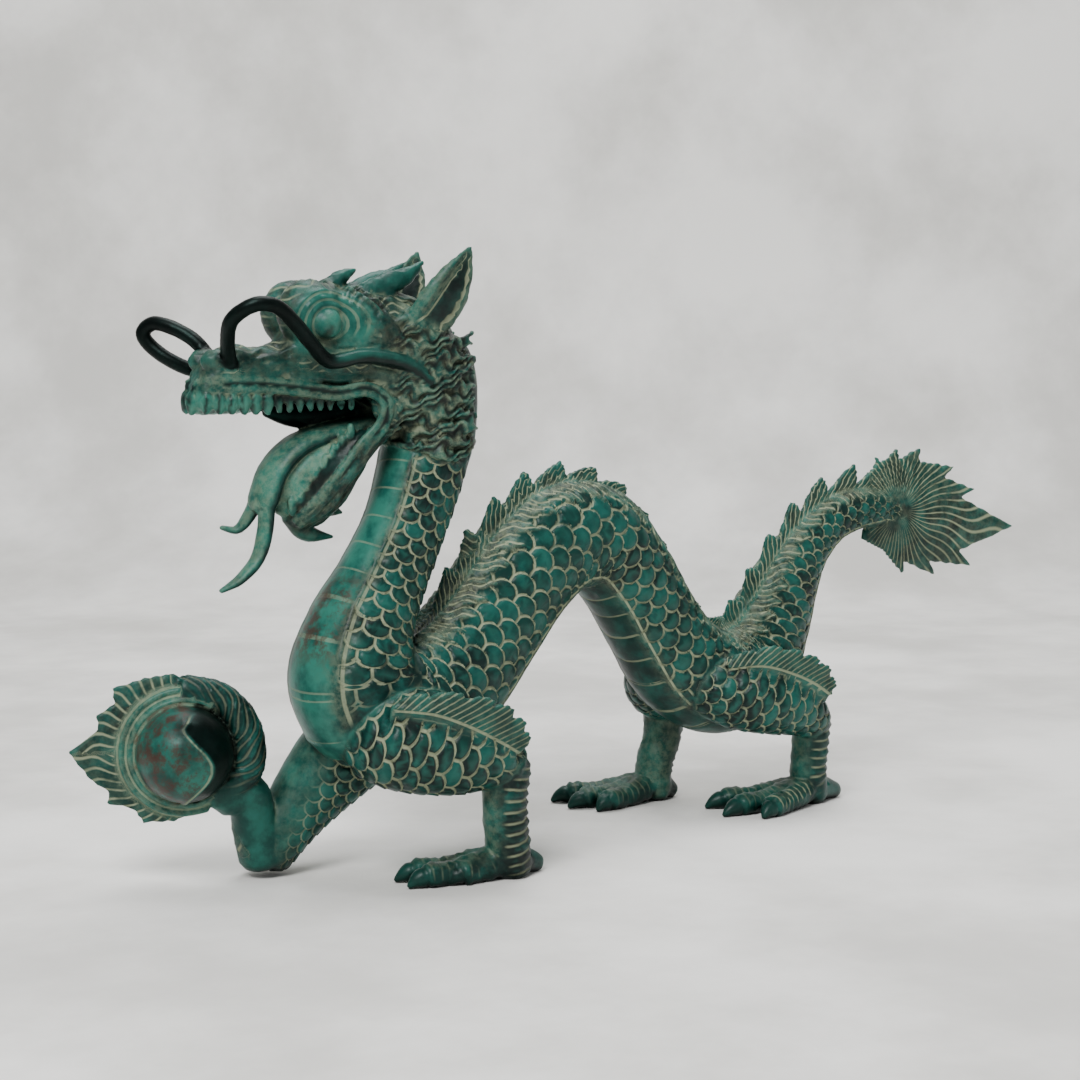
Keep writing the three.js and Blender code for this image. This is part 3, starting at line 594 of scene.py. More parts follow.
PAW_OUT = np.array([-math.sin(PAW_FACING), -math.cos(PAW_FACING), 0.0])
PAW_ACROSS = np.array([math.cos(PAW_FACING), -math.sin(PAW_FACING), 0.0])


def paw_point(degrees, reach, back):
    turn = np.radians(degrees)
    return (PEARL + np.multiply.outer(reach * np.cos(turn), PAW_ACROSS)
            + np.multiply.outer(reach * np.sin(turn), UP) - np.multiply.outer(back, PAW_OUT))


def paw_parts():
    """Tubes and skins of the cupped paw: palm, rims, back of the paw and flame fringe."""
    turn = np.linspace(0, 360, 48, endpoint=False)
    rows = smooth(np.array(PALM, float), np.linspace(0, len(PALM) - 1, 17))
    palm = [[paw_point(a, PAW_RIM * share, PAW_BACK + deep) for a in turn] for share, deep in rows]
    angles = (-48, -15, 20, 55, 90)
    wrap = [[*paw_point(a, PAW_RIM, PAW_BACK + 1), 8.8 - i * 0.7] for i, a in enumerate(angles)]
    tubes = [Tube("wrap", [*LIMBS["right_forearm"][1:3], *wrap], hint=PAW_OUT)]
    for reach, back, size, first, last in ((21.2, 3.5, 1.5, 60, 300), (25.3, 5.5, 1.6, 70, 290)):
        rim = [[*paw_point(a, reach, back), size] for a in np.linspace(first, last, 14)]
        tubes.append(Tube("rim", rim, hint=PAW_OUT, steps=4))
    fringe = []
    for angle, reach in PAW_FRINGE:
        corners = ((PAW_RIM * 0.7, 6), (PAW_RIM * 0.7, -2), (reach, -1), (reach, 1.2))
        fringe.append([paw_point(angle, far, PAW_BACK + deep) for far, deep in corners])
    return tubes, [loft(np.array(palm)), loft(np.array(fringe)), ellipsoid(PEARL, [PEARL_RADIUS] * 3, 56)]


FAN_OUT = np.array([math.cos(math.radians(FAN_SWING)), -math.sin(math.radians(FAN_SWING)), 0.0])
FAN_SIDE = np.cross(FAN_OUT, UP)


def fan_skin():
    """The tail fan: a flat plate from its hub out to the points and notches of its edge."""
    edge = []
    for i, (angle, reach) in enumerate(FAN_TIPS):
        edge.append([angle, reach, 1])
        if i + 1 < len(FAN_TIPS):
            after = FAN_TIPS[i + 1]
            near = 0.85 if reach < after[1] else 0.15
            edge.append([angle * near + after[0] * (1 - near), FAN_NOTCH * min(reach, after[1]), 0.6])
    edge += [[FAN_HEEL[0] + 40, FAN_HEEL[1] * 0.85, 1], [FAN_HEEL[0], FAN_HEEL[1], 1]]
    edge = np.array(edge)
    turn = np.radians(edge[:, 0])
    rays = np.outer(np.cos(turn), FAN_OUT) + np.outer(np.sin(turn), UP)
    hub, n = np.array(FAN_HUB, float), len(edge)
    points = [hub + FAN_SIDE * FAN_RINGS[0][1], hub - FAN_SIDE * FAN_RINGS[0][1]]
    for sign in (1, -1):
        for share, thick in FAN_RINGS:
            points.append(hub + rays * (edge[:, 1] * share)[:, None] + FAN_SIDE * sign * thick)
    faces = []
    for i in range(n):
        k = (i + 1) % n
        faces += [[0, 2 + i, 2 + k], [1, 2 + 3 * n + k, 2 + 3 * n + i]]
        for ring in range(2):
            a, b = 2 + ring * n, 2 + (ring + 1) * n
            faces += [[a + i, b + i, b + k], [a + i, b + k, a + k]]
            a, b = a + 3 * n, b + 3 * n
            faces += [[a + i, b + k, b + i], [a + i, a + k, b + k]]
        a, b = 2 + 2 * n, 2 + 5 * n
        faces += [[a + i, b + i, b + k], [a + i, b + k, a + k]]
    return facing_out(np.vstack(points), np.array(faces))


neck = Tube("neck", NECK)
body = Tube("body", BODY)


def dorsal_fin():
    """The row of flame-shaped teeth along the spine."""
    back = body.at + body.up * body.size[:, 1:2]
    distance = travelled(back)
    teeth_count = int((distance[-1] - FIN_START) // TOOTH_PITCH)

    def place(t):
        d = FIN_START + t * teeth_count * TOOTH_PITCH
        at, way, up, side = [read_off(d, distance, rows) for rows in (back, body.way, body.up, body.side)]
        return at, unit(way), unit(up), unit(side)

    return saw_blade(place, FIN_HEIGHTS, teeth_count, FIN_THICK, FIN_ROOT, FIN_LEAN, FLAME)


def leaf_skin(rows):
    """The lobed fin along the outside of a limb."""
    rows = np.array(rows, float)
    line = centripetal(rows[:, :3], 40)
    lean = unit(np.array([0, np.sign(rows[0, 1]) * 0.25, 1.0]))
    end = len(line[0]) - 1

    def place(t):
        at, way = [read_off(t * end, np.arange(end + 1), values) for values in line]
        up = unit(lean - way * (way @ lean)[:, None])
        return at, unit(way), up, np.cross(unit(way), up)

    return saw_blade(place, rows[:, 3], LEAF_LOBES, LEAF_THICK, LEAF_ROOT, LEAF_LEAN, LOBE)


def foot_tubes(foot):
    """Three toes and the spur of a foot on the ground."""
    start = np.array(foot["ankle"], float)
    tubes = []
    for toe in foot["toes"]:
        reach = np.array(toe, float) - start
        rows = [[*(start + reach * share), height, TOE * size] for share, height, size in TOE_ROWS]
        tubes.append(Tube("toe", rows, steps=6))
    tubes.append(Tube("spur", [[*start, TOE + 2, TOE + 1.5], [*foot["heel"], 3.5, 4]], steps=6))
    return tubes


tubes = [neck, body]
tubes += [Tube(name, rows) for name, rows in LIMBS.items()]
for foot in FEET:
    tubes += foot_tubes(foot)
paw_tubes, paw_skins = paw_parts()
tubes += paw_tubes + head_tubes() + eye_strokes() + face_strokes() + mane_strokes() + jaw_strokes()
skins = [dorsal_fin(), fan_skin(), *skins_from_head([skull_skin(), jaw_skin()])]
skins += [leaf_skin(rows) for rows in LEAVES] + paw_skins + skins_from_head(head_balls() + teeth())
THIN_KINDS = {"hair", "brow_hair", "mane", "lid", "rim", "lip", "gum"}
skins += [tube.mesh(12 if tube.kind in THIN_KINDS else 40) for tube in tubes]


# ---- One skin over everything ----


def mesh_object(name, points, faces):
    mesh = bpy.data.meshes.new(name)
    mesh.from_pydata(np.asarray(points).tolist(), [], np.asarray(faces).tolist())
    made = bpy.data.objects.new(name, mesh)
    bpy.context.scene.collection.objects.link(made)
    return made


def rows_of(items, name, kind=float):
    """One property of all items, in rows of three."""
    values = np.empty(len(items) * 3, kind)
    items.foreach_get(name, values)
    return values.reshape(-1, 3)


def worked(made):
    """Vertices, triangles and vertex normals of an object with its modifiers applied; removes it."""
    graph = bpy.context.evaluated_depsgraph_get()
    mesh = bpy.data.meshes.new_from_object(made.evaluated_get(graph))
    mesh.calc_loop_triangles()
    points, normals = rows_of(mesh.vertices, "co"), rows_of(mesh.vertex_normals, "vector")
    faces = rows_of(mesh.loop_triangles, "vertices", int)
    bpy.data.objects.remove(made)
    bpy.data.meshes.remove(mesh)
    return points, faces, normals


def one_skin(parts):
    """All closed parts joined into one skin of small voxels."""
    offset, points, faces = 0, [], []
    for p, f in parts:
        points.append(p)
        faces.append(f + offset)
        offset += len(p)
    made = mesh_object("raw", np.vstack(points), np.vstack(faces))
    remesh = made.modifiers.new("join", "REMESH")
    remesh.mode = "VOXEL"
    remesh.voxel_size = VOXEL
    soften = made.modifiers.new("soften", "SMOOTH")
    soften.factor = 0.5
    soften.iterations = 1
    return worked(made)


# ---- Relief ----

SCALE_REACH = 0.56       # radius of a scale, counted in scale widths
ROW_STEP = 0.56          # distance between rows of scales, counted in scale widths
SCALE_RISE = 0.5         # how much each scale rises from its root to its free edge
SCALE_GROOVE = 0.95      # depth of the line round a scale
GROOVE_WIDTH = 0.8


def scale_edge(u, v):
    """Inside overlapping scales: distance from the nearest edge, and place from root to free edge.

    u counts rows of scales towards the tail and v counts scales round the body.
    """
    first = np.ceil(u - SCALE_REACH / ROW_STEP)

    def row(k):
        across = v - 0.5 * np.mod(k, 2)
        across = np.abs(across - np.round(across))
        return np.hypot((u - k) * ROW_STEP, across), 0.5 - across

    (top, top_seam), (under, under_seam) = row(first), row(first + 1)
    covered = top < SCALE_REACH
    beneath = np.minimum(np.minimum(SCALE_REACH - under, under_seam), top - SCALE_REACH)
    edge = np.where(covered, np.minimum(SCALE_REACH - top, top_seam), beneath)
    place = np.where(covered, u - first, u - first - 1)
    return np.maximum(edge, 0), place


def where_on(points):
    """For each point: the tube it lies on, its distance along, turn, distance off, and clearance."""
    best = np.full(len(points), 1e3)
    second = np.full(len(points), 1e3)
    owner = np.zeros(len(points), int)
    along, turn = np.zeros(len(points)), np.zeros(len(points))
    for i, tube in enumerate(tubes):
        s, t, off = tube.locate(points)
        closer = off < best
        second = np.where(closer, best, np.minimum(second, off))
        best = np.where(closer, off, best)
        owner = np.where(closer, i, owner)
        along = np.where(closer, s, along)
        turn = np.where(closer, t, turn)
    return owner, along, turn, best, second - best


def ripple(points, size):
    """Uneven ground between -1 and 1, with lumps of about this size."""
    x, y, z = (points / size).T
    return (np.sin(x * 2.1 + 1.7 * np.sin(y * 1.3 + z)) + np.sin(y * 2.3 + 1.5 * np.sin(z * 1.7 + x))
            + np.sin(z * 1.9 + 1.6 * np.sin(x * 1.1 + y))) / 3


# Limb: scale width, scales round it.
SCALED = {"left_arm": (9.6, 11), "left_thigh": (8.8, 10), "right_thigh": (8.6, 9), "right_arm": (8.6, 10)}
# Tone channels: the first is chalky patina, and also pale paint for painted light on lit sides and on
# crests; the third, dark, is dark patina and also painted shade.
MARKS = {"chalk": 0, "teal": 1, "dark": 2, "copper": 3}
leaf_tubes = [Tube("leaf", [[x, y, z, 4.0, tall * 1.4] for x, y, z, tall in rows]) for rows in LEAVES]


class Relief:
    """What is pressed into and painted on the skin: one row of each layer for every point."""

    def __init__(self, points, normals):
        self.points, self.normals = points, normals
        owner, self.along, self.turn, self.off, clear = where_on(points)
        self.kinds = np.array([tube.kind for tube in tubes])[owner]
        self.lengths = np.array([tube.length for tube in tubes])[owner]
        self.outer_toe = np.array([tube.kind == "toe" and tube.at[-1, 1] < -36 for tube in tubes])[owner]
        self.fade = ease(clear, 0.4, 3.0) * ease(self.off, 2.2, 1.0)
        self.scale = np.zeros((len(points), 3))     # row of scales, place round the body, strength
        self.stripe = np.zeros((len(points), 3))    # phase, strength
        self.ring = np.zeros((len(points), 3))      # phase, distance between lines, strength
        self.edge = np.zeros((len(points), 3))      # distance from one line, strength, blackness
        self.tone = np.zeros((len(points), 4))
        self.height = 0.1 * ripple(points, 3.0)

    def on(self, kind, reach=99.0):
        return np.flatnonzero((self.kinds == kind) & (self.off < reach))

    def paint(self, rows, **marks):
        for name, amount in marks.items():
            self.tone[rows, MARKS[name]] += amount

    def scales(self, rows, width, count, mask, span=360.0, axis=None):
        """Overlapping scales, counted along the tube or along a straight axis through it."""
        along, turn = self.along[rows], self.turn[rows]
        if axis:
            way = unit(axis.at[-1] - axis.at[0])
            side = unit(LEFT_RIGHT - way * (way @ LEFT_RIGHT))
            away = self.points[rows] - axis.at[0]
            along, turn = away @ way, np.arctan2(away @ side, away @ np.cross(way, side))
        self.scale[rows, 0] = along / (width * ROW_STEP)
        self.scale[rows, 1] = (np.degrees(turn) + span / 2) / span * count
        self.scale[rows, 2] = mask
        edge, place = scale_edge(self.scale[rows, 0], self.scale[rows, 1])
        self.height[rows] += mask * (SCALE_RISE * place - SCALE_GROOVE * ease(edge, 0.1, 0.02))

    def stripes(self, rows, phase, mask, depth):
        """Rounded stripes side by side, one for each whole step of the phase. They hide scales."""
        self.scale[rows, 2] *= 1 - np.clip(mask, 0, 1)
        self.stripe[rows, 0] = phase
        self.stripe[rows, 1] = mask
        self.height[rows] += mask * depth * (0.5 - np.abs(phase - np.floor(phase) - 0.5) * 2)

    def line(self, rows, distance, mask):
        """One drawn line, where the signed distance in millimetres is 0."""
        self.edge[rows, 0] = distance
        self.edge[rows, 1] = mask
        self.height[rows] -= 0.4 * mask * np.exp(-(distance / GROOVE_WIDTH) ** 2)

    def rings(self, rows, phase, pitch, mask):
        """Drawn lines a pitch apart, one wherever the phase is a whole number."""
        self.ring[rows, 0] = phase
        self.ring[rows, 1] = pitch
        self.ring[rows, 2] = mask
        self.height[rows] -= 0.45 * mask * np.exp(-((phase - np.round(phase)) * pitch / GROOVE_WIDTH) ** 2)


def press_belly(r, rows, degrees, radius, front):
    """The smooth band below, with its raised edge and plates. It is paler at the front."""
    fade = r.fade[rows]
    from_edge = np.radians(degrees - BAND) * radius
    r.height[rows] += 0.8 * np.exp(-(from_edge / 1.3) ** 2) * fade
    inside = ease(from_edge, 0, 3)
    r.line(rows, from_edge + 1.4, fade * (1 - 0.4 * front))
    r.rings(rows, r.along[rows] / PLATE_PITCH, PLATE_PITCH, inside * fade * (1 - 0.62 * front))
    r.paint(rows, teal=inside * (0.12 + 0.88 * front), dark=inside * 0.35 * (1 - front))
    r.paint(rows, chalk=0.25 * np.exp(-(from_edge / 3.0) ** 2) * fade)
    return inside


def press_neck(r):
    """Belly band with a copper patch on the chest, and scales on the back."""
    rows = r.on("neck")
    degrees = np.degrees(np.abs(r.turn[rows]))
    inside = press_belly(r, rows, degrees, 17, 1.0)
    r.paint(rows, copper=0.75 * inside * ease(r.along[rows], 88, 104) * ease(r.along[rows], 128, 118))
    back = ease(degrees, BAND + 1, BAND - 5) * r.fade[rows]
    r.scales(rows, 9.6, 9, back * ease(r.along[rows], neck.length - 8, neck.length - 24), 2 * BAND)


def press_body(r):
    """Scales, the tufts beside the fin, and the striped fin itself."""
    rows = r.on("body")
    degrees = np.degrees(np.abs(r.turn[rows]))
    press_belly(r, rows, degrees, 24, ease(r.along[rows], 60, 30))
    along, fade, off = r.along[rows], r.fade[rows], r.off[rows]
    radius = np.interp(along, body.s, body.size[:, 1])
    arc = np.radians(degrees) * radius
    lock = (along - 0.65 * arc) / (TOOTH_PITCH / 2)
    point = 1 - np.abs(2 * (lock - np.floor(lock)) - 1)
    reach = (FIN_FOOT + 7.5 + 8 * point) * ease(along, 10, 40) * np.minimum(radius / 22, 1)
    tuft = ease(arc, reach + 0.9, reach - 0.9)
    mask = ease(degrees, BAND + 1, BAND - 5) * (1 - tuft) * fade
    narrow = along > TAIL_FROM
    for pick, width, count in ((~narrow, 12.0, 10), (narrow, 7.8, 7)):
        join = ease(np.abs(along[pick] - TAIL_FROM), 0.5, 3)
        r.scales(rows[pick], width, count, mask[pick] * join, 2 * BAND)

    foot = FIN_FOOT * np.minimum(radius / 24, 1)
    low = ease(arc, foot - 0.3, foot + 0.3)
    sway = 0.8 * np.sin(along * 0.31) + 0.7 * np.sin(arc * 0.5 + along * 0.2)
    r.stripes(rows, (arc * 0.55 - along * 0.85 + sway) / 3.3, tuft * fade * low, 1.2)
    r.height[rows] += (0.4 + 0.9 * point) * tuft * fade * low
    r.paint(rows, chalk=0.36 * tuft * fade * low)
    r.paint(rows, dark=0.3 * tuft * fade * low * ease(point, 0.35, 0.0))
    r.height[rows] += 0.7 * np.exp(-((arc - foot) / 1.1) ** 2) * fade
    r.paint(rows, teal=0.6 * np.exp(-((arc - foot) / 1.3) ** 2) * fade)

    blade = ease(off, 1.2, 2.4) * ease(degrees, 60, 30)
    fin = np.maximum(blade, (1 - low) * ease(along, FIN_START - 4, FIN_START))
    on_fin = fin > 0.02
    lift = np.maximum(off, 0) + foot - np.minimum(arc, foot)
    stripe = (along - 0.9 * lift + 0.4 * np.sin(lift * 0.9)) / 3.1
    r.stripes(rows[on_fin], stripe[on_fin], fin[on_fin], 0.7)
    r.paint(rows, chalk=0.12 * fin * ease(lift, 14, 5), teal=0.1 * fin)


def press_limbs(r):
    """Scales on the upper limbs, folds across the lower ones, with painted light and shade on the lower
    ones.
    """
    for kind, (width, count) in SCALED.items():
        rows = r.on(kind)
        limb = next(tube for tube in tubes if tube.kind == kind)
        mask = r.fade[rows]
        if kind == "right_arm":
            above = r.points[rows, 2] - (62 - 0.9 * r.along[rows])
            mask = mask * ease(above, 9, 0) * ease(r.along[rows], 4, 12)
        r.scales(rows, width, count, mask, axis=limb)
        r.paint(rows, teal=0.4 * (1 - mask), chalk=0.1 * (1 - mask))
    for kind, outer in (("left_forearm", -1), ("left_shank", -1), ("right_shank", 1)):
        rows = r.on(kind)
        facing = r.normals[rows] @ np.array([0.8, 0.6 * outer, 0])
        phase = r.along[rows] / 4.3 + 0.25 * r.normals[rows, 1]
        r.stripes(rows, phase, ease(facing, -0.15, 0.3) * r.fade[rows], 1.1)
        # Painted light and shade: teal and pale on the side turned away from the folds, darker on the folded
        # side.
        r.paint(rows, teal=0.4 * ease(facing, 0.1, -0.6), chalk=0.25 * ease(facing, 0.1, -0.6))
        r.paint(rows, dark=0.35 * ease(facing, -0.1, 0.5))
        r.height[rows] += 0.3 * ripple(r.points[rows], 2.2)
    r.paint(r.on("right_forearm"), teal=0.45)


def press_hands(r):
    """Folds on the back of the raised paw; bands, claws and light tops on the toes."""
    rows = r.on("wrap")
    past_wrist = ease(r.along[rows], 26, 36)
    slant = r.along[rows] / 4.6 + 1.6 * r.turn[rows] + 0.2 * np.sin(r.along[rows] * 0.5)
    r.stripes(rows, slant, 0.6 * r.fade[rows] * past_wrist, 1.6)
    between = ease(np.cos(2 * math.pi * slant), -0.3, 0.6)
    r.paint(rows, teal=0.45 * (1 - past_wrist), dark=0.6 * past_wrist * between)

    rows = r.on("toe")
    share = r.along[rows] / r.lengths[rows]
    top = ease(r.normals[rows, 2], -0.2, 0.3) * ease(r.along[rows], 6, 10) * ease(share, 0.84, 0.78)
    mask = top * r.fade[rows] * np.where(r.outer_toe[rows], 1.0, 0.3)
    r.stripes(rows, r.along[rows] / 3.6, mask, 1.1)
    r.height[rows] += 0.45 * ripple(r.points[rows], 1.8) * ease(share, 0.84, 0.78)
    r.height[rows] -= 0.7 * np.exp(-((share - 0.84) * r.lengths[rows] / 0.9) ** 2)
    r.paint(rows, dark=0.2 + 0.4 * ease(share, 0.82, 0.88), teal=0.15)
    r.paint(rows, chalk=0.2 * ease(r.normals[rows, 2], 0.3, 0.9) * ease(share, 0.86, 0.8))


def press_blades(r):
    """Long lines on the limb fins and ribs on the tail fan."""
    for leaf in leaf_tubes:
        along, across, above, picked = leaf.frame(r.points)
        tall = np.interp(along, leaf.s, leaf.size[:, 1])
        hit = (np.abs(across) < 6.5) & (above > -3.5) & (above < tall)
        hit &= (along > 1) & (along < leaf.length + 4) & (r.off[picked] > -1.0)
        rows, along, above = picked[hit], along[hit], above[hit]
        inside = ease(above, -1.2, 0.2)
        r.stripes(rows, (along - above + 0.02 * above ** 2) / 3.0, inside, 0.8)
        r.line(rows, above + 1.0, ease(above, -3.2, -2.4))
        r.height[rows] += 0.9 * np.exp(-((above + 0.2) / 1.0) ** 2)
        r.paint(rows, dark=0.2 * inside)

    hub = r.points - np.array(FAN_HUB)
    across, outward = hub @ FAN_SIDE, hub @ FAN_OUT
    reach = np.hypot(outward, hub[:, 2])
    angle = np.degrees(np.arctan2(hub[:, 2], outward))
    rows = np.flatnonzero((np.abs(across) < 4.6) & (reach < 88) & (r.points[:, 0] > 200) & (r.off > 1.2))
    reach, angle = reach[rows], angle[rows]
    waver = 0.35 * np.sin(reach * 0.16 + angle * 0.05)
    r.stripes(rows, angle / 6.0 + waver, ease(reach, 8, 14), 0.7)
    r.paint(rows, chalk=0.15, teal=0.15 * ease(reach, 30, 60))


def press_paw(r):
    """Rims and flame fringe round the pearl, and the curl on the pearl itself, with painted shade beyond the
    curl.
    """
    paw = r.points - PEARL
    back = -paw @ PAW_OUT
    across, high = paw @ PAW_ACROSS, paw[:, 2]
    reach = np.hypot(across, high)
    angle = np.degrees(np.arctan2(high, across)) % 360
    round_it = (np.abs(back - PAW_BACK) < 8) & (angle > 60) & (angle < 300) & (r.kinds != "wrap")
    rows = np.flatnonzero(round_it & (reach > 27) & (reach < 52))
    swirl = 0.07 * reach[rows] * np.sign(angle[rows] - 180)
    flow = angle[rows] / 7.5 + swirl + 0.3 * np.sin(reach[rows] * 0.4)
    r.stripes(rows, flow, ease(reach[rows], 27, 29), 0.6)
    r.paint(rows, chalk=0.12, dark=0.15)
    rows = np.flatnonzero(round_it & (reach > 19) & (reach < 28.5))
    drawn = 0.45 * ease(reach[rows], 19, 20) * ease(reach[rows], 28.5, 27.8)
    r.rings(rows, (reach[rows] - RIM_LINE) / RIM_PITCH, RIM_PITCH, drawn)
    r.paint(rows, chalk=0.1, teal=0.35)

    ball = np.abs(np.linalg.norm(paw, axis=1) - PEARL_RADIUS) < 1.6
    rows = np.flatnonzero(ball & (back < 6))
    curl = across[rows] - (4 + 6.5 * np.sin((7 - high[rows]) * 0.15)) - 5 * ease(high[rows], 12, 17)
    r.line(rows, curl, 0.7 * ease(high[rows], 17.5, 16.5))
    r.height[rows] += 1.2 * np.exp(-(curl / 1.1) ** 2) * ease(high[rows], 15.5, 14)
    # Beyond the curl the pearl is dark patina and painted shade, black and metallic; before it copper.
    r.paint(rows, dark=0.95 * ease(curl, 0.6, 1.6), copper=0.75 * ease(curl, 0.5, -1.5), teal=0.35)
    r.edge[rows, 2] += 0.8 * ease(curl, 0.6, 2.0)


def on_head_skin(r):
    """Forward, up, which points are on the head, and their distance from its middle plane."""
    head = (r.points - HEAD_AT) @ HEAD_BASIS.T
    f, left, u = head[:, 0], np.abs(head[:, 1]), head[:, 2]
    return f, u, (f > -30) & (f < 106) & (u > -70) & (r.points[:, 2] > 130), left


def eye_reach(f, u):
    """Distance from the middle of an eye, as its folds count it."""
    ahead = f - EYE_AT[0]
    return np.hypot(np.where(ahead < 0, ahead / EYE_STRETCH, ahead), u - EYE_AT[2])


def press_face(r):
    """Uneven chased ground between the strokes of the head."""
    f, u, near, _ = on_head_skin(r)
    rows = np.flatnonzero(near & (r.off > 0.8))
    calm = ease(eye_reach(f[rows], u[rows]), 15, 18)
    r.height[rows] += 0.4 * calm * ripple(r.points[rows], 1.7)
    phase = (u[rows] + 2.2 * np.sin(f[rows] * 0.21 + 1.3) + 0.9 * np.sin(f[rows] * 0.62)) / 3.4
    chased = 0.6 * calm * ease(f[rows], 92, 84) * np.maximum(ease(u[rows], 3, 5), ease(f[rows], 30, 20))
    r.stripes(rows, phase, chased, 0.4)
    r.paint(rows, chalk=0.12)


def press_mane(r):
    """Wavy locks combed over the mane, with painted shade between them and painted highlights on them."""
    f, u, near, _ = on_head_skin(r)
    lock = (u + 0.25 * f + 2.4 * np.sin(f * 0.3 + 0.35 * u) + 1.1 * np.sin(f * 0.8 + 1.0)) / 4.4
    hairy = (r.off > 0.8) | np.isin(r.kinds, ("mane", "nape", "hair"))
    bare = np.isin(r.kinds, ("ear", "horn", "whisker", "lip"))
    rows = np.flatnonzero(near & hairy & (f < 24) & ~bare)
    combed = ease(f[rows], 24, 12) * ease(u[rows], 34, 22) * ease(u[rows], -36, -28)
    combed *= 1 - np.exp(-(((u[rows] - 12) / 5) ** 2)) * ease(f[rows], 4, 8)
    wave = 0.5 + 0.5 * np.cos(2 * math.pi * lock[rows])
    r.stripe[rows, 1] *= 1 - combed
    r.height[rows] += 1.4 * combed * (wave - 0.75) * ease(f[rows], -23, -18)
    # Painted shade in the troughs between the locks, painted highlight on their crests.
    r.paint(rows, dark=0.9 * combed * ease(wave, 0.5, 0.2), chalk=0.45 * combed * ease(wave, 0.7, 0.95))


def press_eyes(r):
    """Lines round the eyes, and fine hair between them and the brow, with painted shade and highlights on
    the hair.
    """
    f, u, near, left = on_head_skin(r)
    ring = eye_reach(f, u)
    rows = np.flatnonzero(near & (ring < 18) & (left > 6) & (r.kinds != "whisker"))
    above = np.maximum(ease(u[rows], EYE_AT[2] - 5, EYE_AT[2] - 2), ease(ring[rows], 8.4, 7.6))
    lids = above * ease(ring[rows], 14.2, 13.2) * ease(left[rows], 6, 9) * ease(ring[rows], 5.2, 5.8)
    r.rings(rows, (ring[rows] - LID_LINE) / LID_PITCH, LID_PITCH, 0.34 * lids)
    r.paint(rows, teal=0.45 * ease(ring[rows], 16, 12) + 0.55 * ease(ring[rows], 6.8, 6.0))
    brow = np.hypot((f - 41) / 1.5, u - 33.5)
    rows = np.flatnonzero(near & (left > 4) & (r.kinds != "whisker") & (r.kinds != "horn"))
    between = np.exp(-((brow[rows] - 12.5) / 3.4) ** 2) * ease(f[rows] + u[rows], 52, 58)
    between *= ease(f[rows], 50, 44)
    between *= ease(u[rows], 27, 32)
    hair = np.cos(2 * math.pi * (0.8 * f[rows] - 0.6 * u[rows] + np.sin(u[rows] * 0.4)) / 3.8)
    r.height[rows] += 0.8 * between * (hair - 0.5)
    # Painted shade in the troughs of the fine hair, painted highlight on its crests.
    r.paint(rows, dark=0.95 * between * ease(hair, 0.3, -0.2), chalk=0.3 * between * ease(hair, 0.4, 0.9))


def press_mouth(r):
    """Painted shade: the roof of the mouth painted black, and dark gaps painted between the front teeth."""
    f, u, near, _ = on_head_skin(r)
    roof = (r.off > 0.8) & (f > 10) & (f < 68) & (u < 0) & (u > -4.5) & (r.normals[:, 2] < -0.3)
    rows = np.flatnonzero(near & roof)
    # Painted shade: the downward faces under the upper jaw are black and metallic.
    r.paint(rows, dark=1.0)
    r.edge[rows, 2] = 1.0
    front = (f > 67) & (u < 0.5) & (u > -9) & (r.kinds != "tongue") & (r.kinds != "throat")
    rows = np.flatnonzero(near & front)
    gap = np.abs(f[rows] / TOOTH_WIDTH - np.round(f[rows] / TOOTH_WIDTH)) * TOOTH_WIDTH
    # Teal teeth, with painted shade in the gaps between them.
    r.paint(rows, teal=1.0, dark=0.95 * ease(gap, 0.9, 0.4))


def press_ears(r):
    """Hollow ears with painted shade in the hollows, and rough ears and horns."""
    rows = r.on("ear")
    share = r.along[rows] / r.lengths[rows]
    hollow = ease(np.abs(np.sin(r.turn[rows])), 0.8, 0.4) * ease(share, 0.08, 0.2) * ease(share, 0.97, 0.8)
    hollow *= ease(r.normals[rows] @ FORWARD, -0.6, 0.2)
    rim = (np.abs(np.sin(r.turn[rows])) - 0.62) * 9
    r.line(rows, rim, ease(share, 0.05, 0.15) * ease(share, 0.95, 0.85))
    r.height[rows] -= 3.2 * hollow
    # Painted shade in the hollow; teal and pale outside it.
    r.paint(rows, dark=0.9 * hollow, chalk=0.3 * (1 - hollow), teal=0.2 * (1 - hollow))
    for kind in ("ear", "horn"):
        rows = r.on(kind)
        r.height[rows] += 0.35 * ripple(r.points[rows], 1.6)


def paint_small_forms(r):
    """The tones of the tongue, the whiskers and all other thin forms, with painted light and shade on the
    tongue and whiskers.
    """
    rows = r.on("bed")
    r.paint(rows, teal=1.0, chalk=0.35)
    rows = r.on("tongue")
    # Painted light and shade: the faces turned forward and up are painted teal and pale, those turned away
    # darker.
    facing = r.normals[rows] @ (FORWARD * 0.8 + UP * 0.6)
    r.paint(rows, teal=0.8 * ease(facing, -0.1, 0.5), chalk=0.3 * ease(facing, -0.1, 0.5))
    r.paint(rows, dark=0.5 * ease(facing, 0.0, -0.6))
    for kind, marks in SMALL_MARKS.items():
        r.paint(r.on(kind, 0.9), **marks)
    rows = r.on("whisker", 0.9)
    flat = ease(r.along[rows] / r.lengths[rows], 0.6, 0.7)
    under = ease(r.normals[rows, 2], 0.2, -0.3)
    # Painted light: the upper faces of each whisker's flat end are painted lighter teal; its underside keeps
    # the dark.
    r.paint(rows, dark=-0.6 * flat * (1 - under), teal=0.5 * flat)
    r.edge[rows, 2] = 0.7 * (1 - flat)
    # Painted shade: the throat tube is black and metallic.
    r.edge[r.on("throat"), 2] = 1.0


